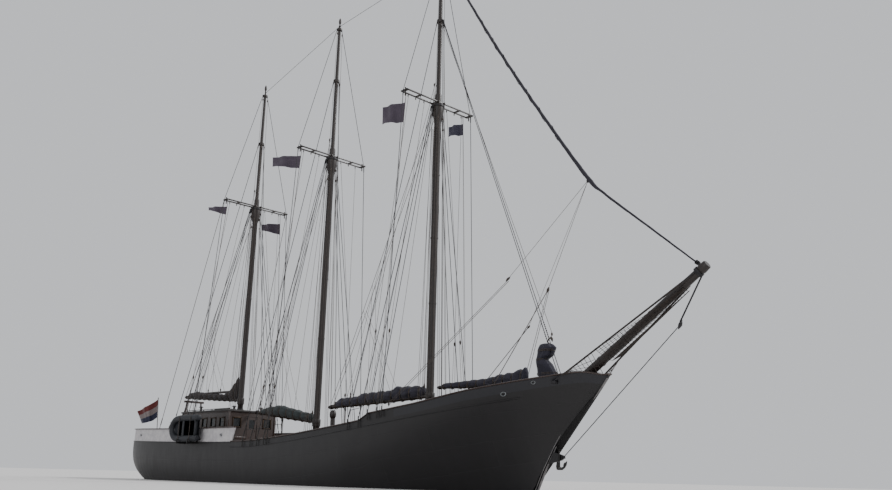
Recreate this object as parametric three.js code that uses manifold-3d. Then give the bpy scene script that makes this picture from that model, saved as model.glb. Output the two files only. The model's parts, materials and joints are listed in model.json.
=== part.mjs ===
// A three-masted schooner at 1:2: a steel hull with a raised quarterdeck, a clipper bow, pole masts with crosstrees,
// gaff sails furled on their booms, a jib furled on its stay, and a netted bowsprit.
// Lengths are metres of the real ship, x forward, y to port, z up from the waterline amidships.
// The ship group is scaled at the end to millimetres of the 1:2 model.
import * as THREE from "three";
import { mergeVertices } from "three/addons/utils/BufferGeometryUtils.js";
import Module from "manifold-3d";

const wasm = await Module();
wasm.setup();

const MODEL_MM_PER_METRE = 500;
const GAP = 0.0008; // between fixed neighbours, 0.4 mm on the model

// Hull
const HULL = {
  sternX: -21.0,
  stemFootX: 17.14, // stem at the waterline
  bowX: 21.3, // stem head
  halfBeam: 3.35,
  stemHalfThickness: 0.09,
  depthOfBody: 2.3, // canoe body below the waterline, amidships
  sheerLow: 2.42, // top of the black plating at its lowest
  sheerLowX: -3.0,
  riseAft: 0.33,
  riseFore: 2.6, // of the decks' line, reached at riseForeX
  riseForeX: 21.45,
  plating: 0.09,
  bulwark: 0.85, // main deck below the decks' line
  breakX: -4.2, // the quarterdeck's forward edge
  wellForeX: 20.1,
  deckForeX: 18.6, // the main deck's forward edge
  stations: 28,
  ringSide: 8,
};
// The clipper stem, as [height, distance forward of the straight rake]
const STEM = [[0, 0], [1, 0.05], [1.7, 0.17], [2.2, 0.25], [2.6, 0.38], [3, 0.57], [3.45, 0.82], [3.8, 1.07], [4.15, 1.36], [4.55, 1.62], [5.05, 1.81], [5.5, 1.9]];
// The fore bulwark's extra height: two steps up, each [aft x, length, height], and a fall to the stem head
const RAISE = { steps: [[7.9, 0.8, 0.27], [11.5, 4, 0.12]], fallX: 20.2, fallLength: 0.9, fall: 0.22 };
const KEEL = { bottom: -2.85, halfThickness: 0.14, heelX: -18.3, postX: -16.45, shoeTop: -2.68, foreX: 12.6 };
const PROPELLER = { z: -1.98, foreX: -16.6, aftX: -17.15, radius: 0.6, hub: 0.15 };
const RUDDER = { x: -18.0, top: -0.98, foot: -2.62, foreX: -17.84, aftX: -19.3, half: 0.06 };
const PLANK = 0.06;
const CAP = { out: 0.06, in: 0.17, thick: 0.07 };
const QUARTER = { bulwarkAft: 0.74, bulwarkFore: 0.78, plating: 0.07, setIn: 0.03 };
const BOWSPRIT = { heelX: 18.15, tipX: 26.35, heelRadius: 0.25, radius: 0.175, slope: 0.667, tipZ: 9.45 };

// Masts: x, height of the crosstrees, head, radii below and above them, and half the crosstree's length
const MASTS = [
  { name: "fore", x: 9.77, crosstree: 21.52, head: 31.35, lower: 0.2, upper: 0.135, half: 2.65 },
  { name: "main", x: -0.17, crosstree: 20.7, head: 30.65, lower: 0.19, upper: 0.128, half: 2.62 },
  { name: "mizzen", x: -8.9, crosstree: 19.05, head: 28.43, lower: 0.178, upper: 0.125, half: 2.54 },
];
const STEP_DEPTH = 0.16; // masts stand this far below the deck's top
const HOUNDS = { radius: 0.33, below: 1.15 };
const CROSSTREE = { bar: 0.09, side: 0.06, postUp: 0.16, postDown: 0.36, postIn: 0.12 };
const UPPER_HOUNDS_BELOW_HEAD = 4.6;
const SHROUD = { feet: [0.35, 1.05, 1.75, 2.6], radius: 0.022, pole: 0.6, tipOut: 0.04 };

// Booms: height at the mast, length, height gained at the outer end, radius
const BOOMS = [
  { name: "fore", z: 4.8, length: 8.73, rise: -0.28, radius: 0.13 },
  { name: "main", z: 3.7, length: 6.78, rise: 0.81, radius: 0.12 },
  { name: "mizzen", z: 5.36, length: 7.6, rise: 0.54, radius: 0.115 },
];
const COLLAR = { half: 0.15, wall: 0.05 };
// Furled sails, by distance from the mast: [distance, top above the boom's axis, half width]
const FURLS = {
  fore: [[0.36, 0.55, 0.2], [1.5, 0.65, 0.27], [2.6, 0.73, 0.28], [2.95, 0.56, 0.28], [5.75, 0.58, 0.26], [6, 0.44, 0.24], [7.55, 0.46, 0.2], [8.05, 0.3, 0.13], [8.3, 0.15, 0.07]],
  main: [[0.35, 0.48, 0.2], [1.2, 0.5, 0.22], [2.4, 0.6, 0.26], [3.8, 0.69, 0.28], [4.9, 0.52, 0.24], [5.9, 0.27, 0.15], [6.3, 0.17, 0.08]],
  mizzen: [[0.34, 1.72, 0.2], [0.75, 1.3, 0.24], [1.1, 0.8, 0.25], [2.1, 0.36, 0.22], [4.0, 0.38, 0.24], [5.9, 0.44, 0.24], [6.8, 0.36, 0.2], [7.2, 0.17, 0.1]],
};
// Gaffs, lowered on their sails: [near distance, near height above the boom's axis, far distance, far height, radius]
const GAFFS = {
  fore: [0.42, 0.35, 7.8, 0.25, 0.085],
  main: [0.42, 0.3, 6.0, 0.15, 0.08],
  mizzen: [0.42, 0.6, 6.9, 0.22, 0.08],
};
const STAYSAIL_BOOM = { x: 16.9, z: 5, length: 6.55, rise: 0.2, radius: 0.09, post: 0.09 };
const STAYSAIL_FURL = [[0.3, 0.92, 0.15], [0.65, 0.81, 0.2], [1.35, 0.64, 0.2], [3.4, 0.36, 0.17], [6, 0.22, 0.12], [6.3, 0.12, 0.07]];
// The staysail's bundle round the inner forestays and its head above, as [height, aft x, fore x, half width]
const BUNDLE = {
  body: [[4.98, 17.85, 18.55, 0.22], [5.4, 17.2, 18.4, 0.3], [5.9, 17.17, 18.05, 0.34], [6.14, 17.18, 17.78, 0.32], [6.3, 17.2, 18.1, 0.33], [6.67, 17.25, 18.27, 0.32], [6.88, 17.35, 18.1, 0.24]],
  head: [[6.8, 17.6, 18.12, 0.1], [7.1, 17.84, 18.1, 0.07], [7.38, 18, 18.14, 0.04]],
};

// Deckhouse, on the quarterdeck
const HOUSE = { aftX: -13.4, foreX: -7.3, half: 1.75, floorZ: 2.2, wallTop: 4.5, roof: 0.1, eaves: 0.1, wall: 0.09 };
const WINDOW = { low: 3.5, high: 4.1, half: 0.31, sideCount: 5, firstX: -12.6, pitch: 1.12 };
const DOOR = { half: 0.36, low: 2.66, high: 4.2, thick: 0.06, play: 0.035, pin: 0.012 };
const TRUNK = { aftX: 4.4, foreX: 7.2, half: 1.2, top: 3.38, hatch: 0.42, hatchX: 5.6, well: 0.22 };

const FINISH = {
  blackPaint: { color: 0x16161a, roughness: 0.45, metalness: 0.1 },
  whitePaint: { color: 0xb9b8b4, roughness: 0.5, metalness: 0.05 },
  deckPlank: { color: 0x6a5138, roughness: 0.75, metalness: 0 },
  railWood: { color: 0x3a2416, roughness: 0.5, metalness: 0 },
  mastPaint: { color: 0x2a1d15, roughness: 0.5, metalness: 0 },
  houseWood: { color: 0x33231a, roughness: 0.55, metalness: 0 },
  roofPaint: { color: 0x2c2a2b, roughness: 0.7, metalness: 0 },
  wire: { color: 0x17171a, roughness: 0.5, metalness: 0.5 },
  sail: { color: 0x232636, roughness: 0.85, metalness: 0 },
  castIron: { color: 0x141414, roughness: 0.6, metalness: 0.6 },
  bronze: { color: 0x8a6a2d, roughness: 0.35, metalness: 0.9 },
  rubber: { color: 0x1b1c1f, roughness: 0.8, metalness: 0 },
  flag: { color: 0x5a4f58, roughness: 0.9, metalness: 0 },
  ensign: { color: 0x6e2a26, roughness: 0.9, metalness: 0 },
  net: { color: 0x1a1613, roughness: 0.9, metalness: 0 },
};

// Solids

const V = (x, y, z) => new THREE.Vector3(x, y, z);

/** A closed three.js geometry as a solid, its faces turned outwards. */
function solid(geometry) {
  const bare = geometry.clone();
  bare.deleteAttribute("normal");
  bare.deleteAttribute("uv");
  const merged = mergeVertices(bare, 1e-6);
  const triVerts = new Uint32Array(merged.index.array);
  const build = () =>
    new wasm.Manifold(new wasm.Mesh({ numProp: 3, vertProperties: merged.attributes.position.array, triVerts }));
  let made = build();
  if (made.volume() < 0) {
    for (let i = 0; i < triVerts.length; i += 3) [triVerts[i + 1], triVerts[i + 2]] = [triVerts[i + 2], triVerts[i + 1]];
    made = build();
  }
  return made;
}

/** A solid's surface as a three.js geometry. */
function geometryOf(made) {
  const mesh = made.getMesh();
  const position = new Float32Array(mesh.numVert * 3);
  for (let i = 0; i < mesh.numVert; i++) {
    position.set(mesh.vertProperties.subarray(i * mesh.numProp, i * mesh.numProp + 3), i * 3);
  }
  const geometry = new THREE.BufferGeometry();
  geometry.setAttribute("position", new THREE.BufferAttribute(position, 3));
  geometry.setIndex(new THREE.BufferAttribute(new Uint32Array(mesh.triVerts), 1));
  geometry.computeVertexNormals();
  return geometry;
}

const join = (solids) => solids.reduce((sum, next) => sum.add(next));

/** A solid skinned over rings of the same number of points, with flat ends. */
function loft(rings) {
  const count = rings[0].length;
  const points = rings.flat();
  const ends = [rings[0], rings.at(-1)].map((ring) => {
    const middle = ring.reduce((sum, p) => sum.add(p), V(0, 0, 0)).divideScalar(count);
    return points.push(middle) - 1;
  });
  const index = [];
  for (let i = 0; i < rings.length - 1; i++) {
    for (let j = 0; j < count; j++) {
      const a = i * count + j;
      const b = i * count + ((j + 1) % count);
      index.push(a, b, b + count, a, b + count, a + count);
    }
  }
  const last = (rings.length - 1) * count;
  for (let j = 0; j < count; j++) {
    const k = (j + 1) % count;
    index.push(ends[0], k, j, ends[1], last + j, last + k);
  }
  const geometry = new THREE.BufferGeometry().setFromPoints(points);
  geometry.setIndex(index);
  return solid(geometry);
}

/** A straight round bar from p to q. */
function rod(p, q, radius, endRadius = radius, sides = 8) {
  const along = q.clone().sub(p);
  const bar = new THREE.CylinderGeometry(endRadius, radius, along.length(), sides);
  bar.applyQuaternion(new THREE.Quaternion().setFromUnitVectors(V(0, 1, 0), along.clone().normalize()));
  bar.translate(...p.clone().add(q).divideScalar(2).toArray());
  return solid(bar);
}

/** A box between two corners. */
function box(low, high) {
  const size = high.clone().sub(low);
  const made = new THREE.BoxGeometry(size.x, size.y, size.z);
  made.translate(...low.clone().add(high).divideScalar(2).toArray());
  return solid(made);
}

const ROUND = 12;

/** A turned shape about the z axis from [radius, z] points that start and end on the axis. */
function turned(profile, sides = ROUND) {
  const made = new THREE.LatheGeometry(profile.map(([r, z]) => new THREE.Vector2(r, z)), sides);
  made.rotateX(Math.PI / 2);
  return solid(made);
}

/** A plate cut to an outline of [x, z] points, standing fore and aft between two y values. */
function plateXZ(outline, yLow, yHigh) {
  const shape = new THREE.Shape(outline.map(([x, z]) => new THREE.Vector2(x, z)));
  const made = new THREE.ExtrudeGeometry(shape, { depth: yHigh - yLow, bevelEnabled: false });
  made.rotateX(Math.PI / 2);
  made.translate(0, yHigh, 0);
  return solid(made);
}

/** A round tube along points, with a radius for each, and an optional squash of the section's width. */
function sweep(path, radii, sides = 8, widths = radii) {
  const rings = path.map((p, i) => {
    const before = path[Math.max(i - 1, 0)];
    const after = path[Math.min(i + 1, path.length - 1)];
    const along = after.clone().sub(before).normalize();
    const reference = Math.abs(along.y) > 0.9 ? V(0, 0, 1) : V(0, 1, 0);
    const up = reference.clone().cross(along).normalize();
    const side = along.clone().cross(up).normalize();
    return Array.from({ length: sides }, (_, j) => {
      const angle = (2 * Math.PI * j) / sides;
      return p
        .clone()
        .addScaledVector(up, radii[i] * Math.cos(angle))
        .addScaledVector(side, widths[i] * Math.sin(angle));
    });
  });
  return loft(rings);
}

const lerp = THREE.MathUtils.lerp;
const clamp01 = (v) => THREE.MathUtils.clamp(v, 0, 1);
const smooth = (v) => clamp01(v) ** 2 * (3 - 2 * clamp01(v));

/** A value read from a table of [place, value] rows, straight between them. */
function onTable(rows, at) {
  const next = rows.findIndex(([place]) => place >= at);
  if (next <= 0) return rows[next === 0 ? 0 : rows.length - 1][1];
  const [[a, low], [b, high]] = rows.slice(next - 1, next + 1);
  return lerp(low, high, (at - a) / (b - a));
}

// Hull lines, as formulas of x, and of s, the share of a waterline's length from the stern (0) to the stem (1)

/** The stem's profile: a clipper bow above the waterline, a round forefoot below. */
function stemX(z) {
  const rake = HULL.stemFootX + 0.45 * z;
  return z > 0 ? rake + onTable(STEM, z) : rake - 0.55 * z * z;
}

/** The stern's profile: upright, and rounded under from 1.6 m above the waterline. */
const sternX = (z) => HULL.sternX + (z < 1.6 ? 0.38 * (1.6 - z) ** 2 : 0);
const hullX = (s, z) => lerp(sternX(z), stemX(z), s);
const shareAt = (x, z) => clamp01((x - sternX(z)) / (stemX(z) - sternX(z)));

/** Half the breadth at the sheer. */
function deckBreadth(s) {
  const aft = (1 - clamp01((0.25 - s) / 0.25) ** 3.4) ** 0.5;
  const fore = (1 - clamp01((s - 0.6) / 0.4) ** 3) ** 0.75;
  return Math.max(HULL.stemHalfThickness, HULL.halfBeam * aft * fore);
}

/** The line that the decks follow. */
function deckLine(x) {
  const aft = clamp01((HULL.sheerLowX - x) / (HULL.sheerLowX - HULL.sternX));
  const fore = clamp01((x - HULL.sheerLowX) / (HULL.riseForeX - HULL.sheerLowX));
  return HULL.sheerLow + HULL.riseAft * aft ** 2 + HULL.riseFore * fore ** 1.45 * (1.22 - 0.22 * fore);
}

/** The top of the black plating: the decks' line, with the fore bulwark raised over it. */
function sheer(x) {
  const up = RAISE.steps.reduce((sum, [from, length, height]) => sum + height * smooth((x - from) / length), 0);
  return deckLine(x) + up - RAISE.fall * clamp01((x - RAISE.fallX) / RAISE.fallLength) ** 1.5;
}

/** The height of a level at a share of the length. */
function levelAt(level, s) {
  let z = level(lerp(HULL.sternX, HULL.bowX, s));
  for (let i = 0; i < 6; i++) z = level(hullX(s, z));
  return z;
}

/** The bottom of the body, without the keel. */
function bottom(s) {
  const aft = 1.8 * clamp01((0.38 - s) / 0.38) ** 1.5;
  const fore = 0.7 * clamp01((s - 0.75) / 0.25) ** 2;
  return -HULL.depthOfBody + aft + fore;
}

/** Half the breadth at a height: full round bilges amidships, flared vees at the bow. */
function breadth(s, z) {
  const t = clamp01((z - bottom(s)) / (levelAt(sheer, s) - bottom(s)));
  const sharp = smooth((s - 0.6) / 0.4);
  const round = lerp(lerp(3, 2.3, clamp01((0.25 - s) / 0.25)), 1, sharp);
  return Math.max(HULL.stemHalfThickness, deckBreadth(s) * (1 - (1 - t) ** round) ** lerp(0.5, 1.1, sharp));
}

/** A point on the hull's side, moved out along the level normal. */
function rimPoint(s, z, out) {
  const step = 0.0015;
  const at = (u) => new THREE.Vector2(hullX(u, z), breadth(u, z));
  const tangent = at(Math.min(s + step, 1)).sub(at(Math.max(s - step, 0))).normalize();
  const p = at(s);
  return V(p.x - tangent.y * out, p.y + tangent.x * out, z);
}

const hullSide = (x, z) => breadth(shareAt(x, z), z);
const quarterRail = (x) =>
  sheer(x) + PLANK + lerp(QUARTER.bulwarkAft, QUARTER.bulwarkFore, (x - HULL.sternX) / (HULL.breakX - HULL.sternX));
const mainDeckTop = (x) => deckLine(x) - HULL.bulwark + PLANK;
const quarterDeckTop = (x) => sheer(x) + PLANK;

/** Shares of the length between two stations, closer together at the ship's ends. */
function shares(from, to, count) {
  const phase = (s) => Math.acos(1 - 2 * s) / Math.PI;
  return Array.from({ length: count + 1 }, (_, i) => (1 - Math.cos(Math.PI * lerp(phase(from), phase(to), i / count))) / 2);
}

/** A full-width slab that follows the hull's rim between two stations, through levels from low to high. */
function rimSlab({ from, to, out, levels, count = 28 }) {
  const half = 0.012;
  return loft(
    shares(from, to, count).map((s) => {
      const port = levels.map((level) => rimPoint(s, levelAt(level, s), out));
      port.forEach((p, i) => (p.z = levels[i](p.x)));
      port.forEach((p) => (p.y = Math.max(p.y, half)));
      return [...port.map((p) => V(p.x, -p.y, p.z)), ...port.reverse()];
    })
  );
}

const breakShare = shareAt(HULL.breakX, HULL.sheerLow);
const raised = (level, by) => (x) => level(x) + by;
const forward = (x) => box(V(x, -9, -9), V(40, 9, 40));
const aftOf = (x) => box(V(-40, -9, -9), V(x, 9, 40));

/** The hull's body from the bottom to the sheer. */
function hullBody() {
  const rings = shares(0, 1, HULL.stations).map((s) => {
    const top = levelAt(sheer, s);
    const side = Array.from({ length: HULL.ringSide + 1 }, (_, j) => {
      const z = lerp(bottom(s), top, (j / HULL.ringSide) ** 1.7);
      return V(hullX(s, z), j === 0 ? 0 : breadth(s, z), z);
    });
    const port = side.slice(1).reverse();
    const starboard = side.slice(1).map((p) => V(p.x, -p.y, p.z));
    return [...port, side[0], ...starboard];
  });
  return loft(rings);
}

/** The keel, skeg, sternpost and heel in one thick plate, with the stern tube and the rudder trunk. */
function keelPieces() {
  const outline = [
    [15.2, -1.3],
    [15.1, -1.9],
    [14.3, -2.5],
    [KEEL.foreX, KEEL.bottom],
    [KEEL.heelX, KEEL.bottom],
    [KEEL.heelX, KEEL.shoeTop],
    [KEEL.postX, KEEL.shoeTop],
    [KEEL.postX, -0.7],
    [-8, -1.3],
  ];
  return [
    plateXZ(outline, -KEEL.halfThickness, KEEL.halfThickness),
    rod(V(-15.4, 0, PROPELLER.z), V(PROPELLER.foreX + GAP, 0, PROPELLER.z), 0.24, PROPELLER.hub, 12),
    rod(V(RUDDER.x, 0, 0.2), V(RUDDER.x, 0, RUDDER.top + GAP), 0.16, 0.16, 12),
  ];
}

const bowspritZ = (x) => BOWSPRIT.tipZ - BOWSPRIT.slope * (BOWSPRIT.tipX - x);
const wellShare = { from: breakShare - 0.03, to: 0.97, count: 22 };

function hull() {
  const deckLow = raised(deckLine, -HULL.bulwark);
  const well = rimSlab({
    ...wellShare,
    out: -HULL.plating,
    levels: [deckLow, raised(deckLow, PLANK), raised(deckLow, 0.4), sheer, raised(sheer, 0.3)],
  })
    .intersect(forward(HULL.breakX))
    .intersect(aftOf(HULL.wellForeX));
  const above = [sheer, raised(sheer, 0.4)];
  const trimAft = rimSlab({ from: 0, to: breakShare + 0.02, out: CAP.out, levels: above }).intersect(aftOf(HULL.breakX + GAP));
  const trimFore = rimSlab({ from: breakShare - 0.02, to: 1, out: CAP.out, levels: above }).add(
    box(V(21.2, -0.3, sheer(21.2)), V(22, 0.3, 6))
  );
  const chockX = 20.35;
  const chock = box(V(chockX - 0.2, -0.3, sheer(chockX) - 0.9), V(chockX + 0.2, 0.3, bowspritZ(chockX) - 0.1));
  const body = join([hullBody(), ...keelPieces()]);
  return body
    .subtract(trimAft)
    .subtract(trimFore.intersect(forward(HULL.breakX)))
    .subtract(well)
    .add(chock)
    .subtract(bowspritSolid(GAP));
}

/** The bowsprit as a tapered spar with its cap; `grown` leaves room for it in its neighbours. */
function bowspritSolid(grown = 0) {
  const at = (x) => V(x, 0, bowspritZ(x));
  const spar = rod(at(BOWSPRIT.heelX - grown), at(22.2), BOWSPRIT.heelRadius + grown, 0.2 + grown, 16);
  const outer = rod(at(22.18), at(26.1), 0.2 + grown, BOWSPRIT.radius + grown, 16);
  const cap = rod(at(26.03), at(BOWSPRIT.tipX), 0.225 + grown, 0.2 + grown, 16);
  return join([spar, outer, cap]);
}

// Decks, bulwark and rails

const chockRoom = () => box(V(20.14, -0.302, 3), V(20.56, 0.302, 6));

const mainDeck = () =>
  rimSlab({
    ...wellShare,
    out: -HULL.plating - 2 * GAP,
    levels: [raised(deckLine, -HULL.bulwark + GAP), raised(deckLine, -HULL.bulwark + PLANK)],
  })
    .intersect(forward(HULL.breakX + GAP))
    .intersect(aftOf(HULL.deckForeX))
    .subtract(bowspritSolid(3 * GAP));

const quarterDeck = () =>
  rimSlab({
    from: 0.0,
    to: breakShare + 0.02,
    out: -QUARTER.setIn - QUARTER.plating - 0.006,
    levels: [raised(sheer, GAP), raised(sheer, PLANK)],
  }).intersect(aftOf(HULL.breakX));

function quarterBulwark() {
  const to = breakShare + 0.02;
  const outer = rimSlab({ from: 0, to, out: -QUARTER.setIn, levels: [raised(sheer, GAP), quarterRail] });
  const inner = rimSlab({
    from: 0,
    to,
    out: -QUARTER.setIn - QUARTER.plating,
    levels: [raised(sheer, -0.2), raised(quarterRail, 0.2)],
  });
  return outer.subtract(inner).intersect(aftOf(HULL.breakX));
}

/** A rail cap: a flat ring round the rim between two stations. */
function railCap(from, to, base, innerFrom, innerTo) {
  const outer = rimSlab({ from, to, out: CAP.out, levels: [raised(base, GAP), raised(base, CAP.thick)] });
  const inner = rimSlab({
    from: innerFrom,
    to: innerTo,
    out: -CAP.in,
    levels: [raised(base, -0.3), raised(base, 0.4)],
  });
  return outer.subtract(inner);
}

const movedCopy = (made, x, z) => solid(geometryOf(made).translate(x, 0, z));
const mainRail = () =>
  railCap(breakShare - 0.02, 1, sheer, breakShare - 0.04, 0.95)
    .intersect(forward(HULL.breakX + 2 * GAP))
    .subtract(bowspritSolid(2 * GAP))
    .subtract(chockRoom());
const quarterRailCap = () => railCap(0, breakShare + 0.02, quarterRail, 0, breakShare + 0.04).intersect(aftOf(HULL.breakX));

/** Room below a deck's top, for a piece that stands on it. */
const mainSeat = rimSlab({
  ...wellShare,
  out: -HULL.plating - 2 * GAP,
  levels: [raised(deckLine, -HULL.bulwark - 0.6), raised(deckLine, -HULL.bulwark + PLANK + GAP)],
});
const quarterSeat = rimSlab({
  from: 0.0,
  to: breakShare + 0.02,
  out: -QUARTER.setIn - QUARTER.plating - 0.006,
  levels: [raised(sheer, -0.8), raised(sheer, PLANK + GAP)],
});

// Masts and crosstrees

const mastNamed = (name) => MASTS.find((mast) => mast.name === name);
const boomNamed = (name) => BOOMS.find((boom) => boom.name === name);
const deckTopAt = (x) => (x < HULL.breakX ? quarterDeckTop(x) : mainDeckTop(x));
const heelOf = (mast) => deckTopAt(mast.x) - STEP_DEPTH;
const heelRadius = (mast) => mast.lower * 1.04;

/** The mast's radius at a height below the hounds. */
function mastRadius(mast, z) {
  const top = mast.crosstree - CROSSTREE.bar - HOUNDS.below;
  return lerp(heelRadius(mast), mast.lower, clamp01((z - heelOf(mast)) / (top - heelOf(mast))));
}

/** A pole mast: thick to the hounds, slimmer above, with a boom saddle, stay bands and a round truck. */
function mastSolid(mast) {
  const { lower, upper, crosstree, head } = mast;
  const band = head - UPPER_HOUNDS_BELOW_HEAD;
  const shoulder = crosstree - CROSSTREE.bar;
  const saddleTop = boomNamed(mast.name).z - COLLAR.half - GAP;
  const heel = heelOf(mast);
  const made = turned([
    [0, heel],
    [heelRadius(mast), heel],
    [mastRadius(mast, saddleTop - 0.16), saddleTop - 0.16],
    [mastRadius(mast, saddleTop) + COLLAR.wall, saddleTop - 0.08],
    [mastRadius(mast, saddleTop) + COLLAR.wall, saddleTop],
    [mastRadius(mast, saddleTop), saddleTop],
    [lower, shoulder - HOUNDS.below],
    [HOUNDS.radius * 0.92, shoulder - HOUNDS.below * 0.55],
    [HOUNDS.radius, shoulder - 0.3],
    [HOUNDS.radius, shoulder],
    [lower * 0.98, shoulder],
    [lower * 0.98, crosstree + 0.5],
    [upper, crosstree + 0.58],
    [upper * 0.95, band - 0.14],
    [upper * 1.5, band - 0.12],
    [upper * 1.5, band + 0.06],
    [upper * 0.9, band + 0.08],
    [upper * 0.75, head - 0.95],
    [upper * 1.35, head - 0.93],
    [upper * 1.35, head - 0.78],
    [0.05, head - 0.75],
    [0.045, head - 0.42],
    [0.085, head - 0.36],
    [0.085, head - 0.16],
    [0.03, head],
    [0, head],
  ]);
  return movedCopy(made, mast.x, 0);
}

/** The room a mast takes through a deck or roof. */
const mastRoom = (mast, grown) =>
  rod(V(mast.x, 0, heelOf(mast) - (grown ? GAP : 0)), V(mast.x, 0, 6), heelRadius(mast) + grown, heelRadius(mast) + grown, ROUND);

/** Crosstrees: two bars before and abaft the mast, on short cheeks, with a post near each end. */
function crosstreeSolid(mast) {
  const { bar, side, postUp, postDown, postIn } = CROSSTREE;
  const z = mast.crosstree;
  const off = mast.lower * 0.98 + side / 2 + 2 * GAP;
  const low = z - bar + GAP;
  const reach = off + side / 2;
  const across = (x, y, halfX, halfY, top) => box(V(x - halfX, y - halfY, low), V(x + halfX, y + halfY, top));
  const pieces = [-1, 1].flatMap((d) => [
    across(mast.x + d * off, 0, side / 2, mast.half, z),
    across(mast.x, d * off, reach + 0.08, side / 2, z + 0.02),
    across(mast.x, d * mast.half * 0.58, reach, 0.05, z - 0.005),
    across(mast.x, d * (mast.half - 0.08), reach, 0.08, z - 0.005),
    rod(V(mast.x, d * (mast.half - postIn), z - postDown), V(mast.x, d * (mast.half - postIn), z + postUp), 0.035, 0.035, 8),
  ]);
  return join(pieces);
}

// Standing rigging

/** A ring round a vertical pole. */
function ringRound(x, z, inner, outer, half) {
  const tube = (r, h) => rod(V(x, 0, z - h), V(x, 0, z + h), r, r, ROUND);
  return tube(outer, half).subtract(tube(inner, half + 0.1));
}

/** One mast's shrouds on both sides, joined by the collar at the hounds and the poles above the rail. */
function shroudSolid(mast, footAt) {
  const { radius: r, pole, tipOut, feet } = SHROUD;
  const houndZ = mast.crosstree - CROSSTREE.bar - 0.12;
  const houndR = HOUNDS.radius + 2 * GAP;
  const bandZ = mast.head - UPPER_HOUNDS_BELOW_HEAD - 0.03;
  const bandY = mast.upper * 1.5 + GAP;
  const headZ = mast.head - 0.855;
  const headY = mast.upper * 1.35 + GAP;
  const pieces = [ringRound(mast.x, houndZ, houndR, houndR + 0.05, 0.06)];
  for (const d of [-1, 1]) {
    const wire = (p, q, size = r) => pieces.push(rod(p, q, size, size, 4));
    const tab = (y, z) =>
      pieces.push(box(V(mast.x - 0.05, Math.min(d * y, d * (y + 0.06)), z - 0.05), V(mast.x + 0.05, Math.max(d * y, d * (y + 0.06)), z + 0.05)));
    tab(bandY, bandZ);
    tab(headY, headZ);
    const tip = V(mast.x, d * (mast.half + tipOut), mast.crosstree - CROSSTREE.bar / 2);
    wire(V(mast.x, d * (headY + 0.03), headZ), tip, r * 0.9);
    const heads = [tip, ...[0, 1, 2].map((i) => V(mast.x - 0.1 * i, d * (houndR + 0.027), houndZ)), V(mast.x, d * (bandY + 0.03), bandZ)];
    const ends = [0, ...feet].map((aft) => footAt(mast.x - aft, d));
    const poles = ends.map((end, i) => {
      const up = heads[i].clone().sub(end).normalize();
      wire(end.clone().addScaledVector(up, 0.1), heads[i]);
      pieces.push(box(V(end.x - 0.045, end.y - 0.02, end.z - 0.4), V(end.x + 0.045, end.y + 0.02, end.z + 0.16)));
      return end.clone().addScaledVector(up, pole);
    });
    poles.slice(1).forEach((p, i) => wire(poles[i].clone().lerp(p, -0.04), p.clone().lerp(poles[i], -0.04), r * 0.8));
  }
  return join(pieces);
}

/** A shroud's foot on the outer edge of a rail cap. */
const footOn = (railZ) => (x, d) => {
  const z = railZ(x) + CAP.thick / 2;
  const y = Math.max(...[-0.05, 0.05].map((step) => rimPoint(shareAt(x + step, z), z, CAP.out).y));
  return V(x, d * (y + 0.02 + 0.003), z + 0.02);
};
const mainFoot = footOn(sheer);
const quarterFoot = footOn(quarterRail);

/** The headstay with the jib furled on it, sagging to its clew, from the fore mast to the bowsprit. */
function headstay() {
  const fore = mastNamed("fore");
  const headZ = fore.head - 0.855;
  const startX = fore.x + fore.upper * 1.35 + GAP;
  const path = [V(startX + 0.05, 0, headZ), V(10.6, 0, 29.5), V(12.04, 0, 27.25), V(14, 0, 24.0), V(16.02, 0, 20.84), V(18.2, 0, 17.6)];
  path.push(V(20.32, 0, 14.57), V(21.3, 0, 13.55), V(23.6, 0, 11.55), V(25.6, 0, 9.81), V(25.93, 0, bowspritZ(25.93) + 0.37));
  const radii = [0.03, 0.055, 0.075, 0.085, 0.085, 0.088, 0.105, 0.062, 0.05, 0.04, 0.035];
  const tack = box(V(25.915, -0.04, bowspritZ(25.94) + 0.262), V(26.02, 0.04, bowspritZ(25.94) + 0.42)).subtract(bowspritSolid(2 * GAP));
  return join([sweep(path, radii, 8), box(V(startX, -0.04, headZ - 0.08), V(startX + 0.12, 0.04, headZ + 0.06)), tack]);
}

/** The pair of inner forestays, from the fore mast's upper band to the bowsprit's heel. */
function innerStays() {
  const fore = mastNamed("fore");
  const bandZ = fore.head - UPPER_HOUNDS_BELOW_HEAD - 0.03;
  const startX = fore.x + fore.upper * 1.5 + GAP;
  const footX = 18.78;
  const footZ = bowspritZ(footX) + 0.3;
  const wires = [-1, 1].map((d) => rod(V(startX + 0.04, d * 0.03, bandZ), V(footX, d * 0.11, footZ), 0.022, 0.022, 5));
  const head = box(V(startX, -0.06, bandZ - 0.05), V(startX + 0.08, 0.06, bandZ + 0.05));
  const foot = box(V(footX - 0.12, -0.15, footZ - 0.2), V(footX + 0.12, 0.15, footZ + 0.03)).subtract(bowspritSolid(GAP));
  return join([...wires, head, foot]);
}

/** The stays between the mastheads, joined by the ring round the main mast's pole. */
function triatic() {
  const poleZ = (mast) => mast.head - 0.6;
  const [fore, main, mizzen] = MASTS;
  const inner = 0.0482;
  const ring = ringRound(main.x, poleZ(main), inner, 0.085, 0.03);
  const stay = (mast, d) => {
    const tabX = mast.x + d * inner;
    const tab = box(V(Math.min(tabX, tabX + d * 0.06), -0.03, poleZ(mast) - 0.03), V(Math.max(tabX, tabX + d * 0.06), 0.03, poleZ(mast) + 0.03));
    return rod(V(main.x - d * 0.075, 0, poleZ(main)), V(tabX + d * 0.04, 0, poleZ(mast)), 0.016, 0.016, 5).add(tab);
  };
  return join([ring, stay(fore, -1), stay(mizzen, 1)]);
}

// Bowsprit gear

const GUY = { fromX: 25.93, fromY: 0.25, toX: 19.3, toZ: 4.88, toOut: 0.17, radius: 0.026 };

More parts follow.
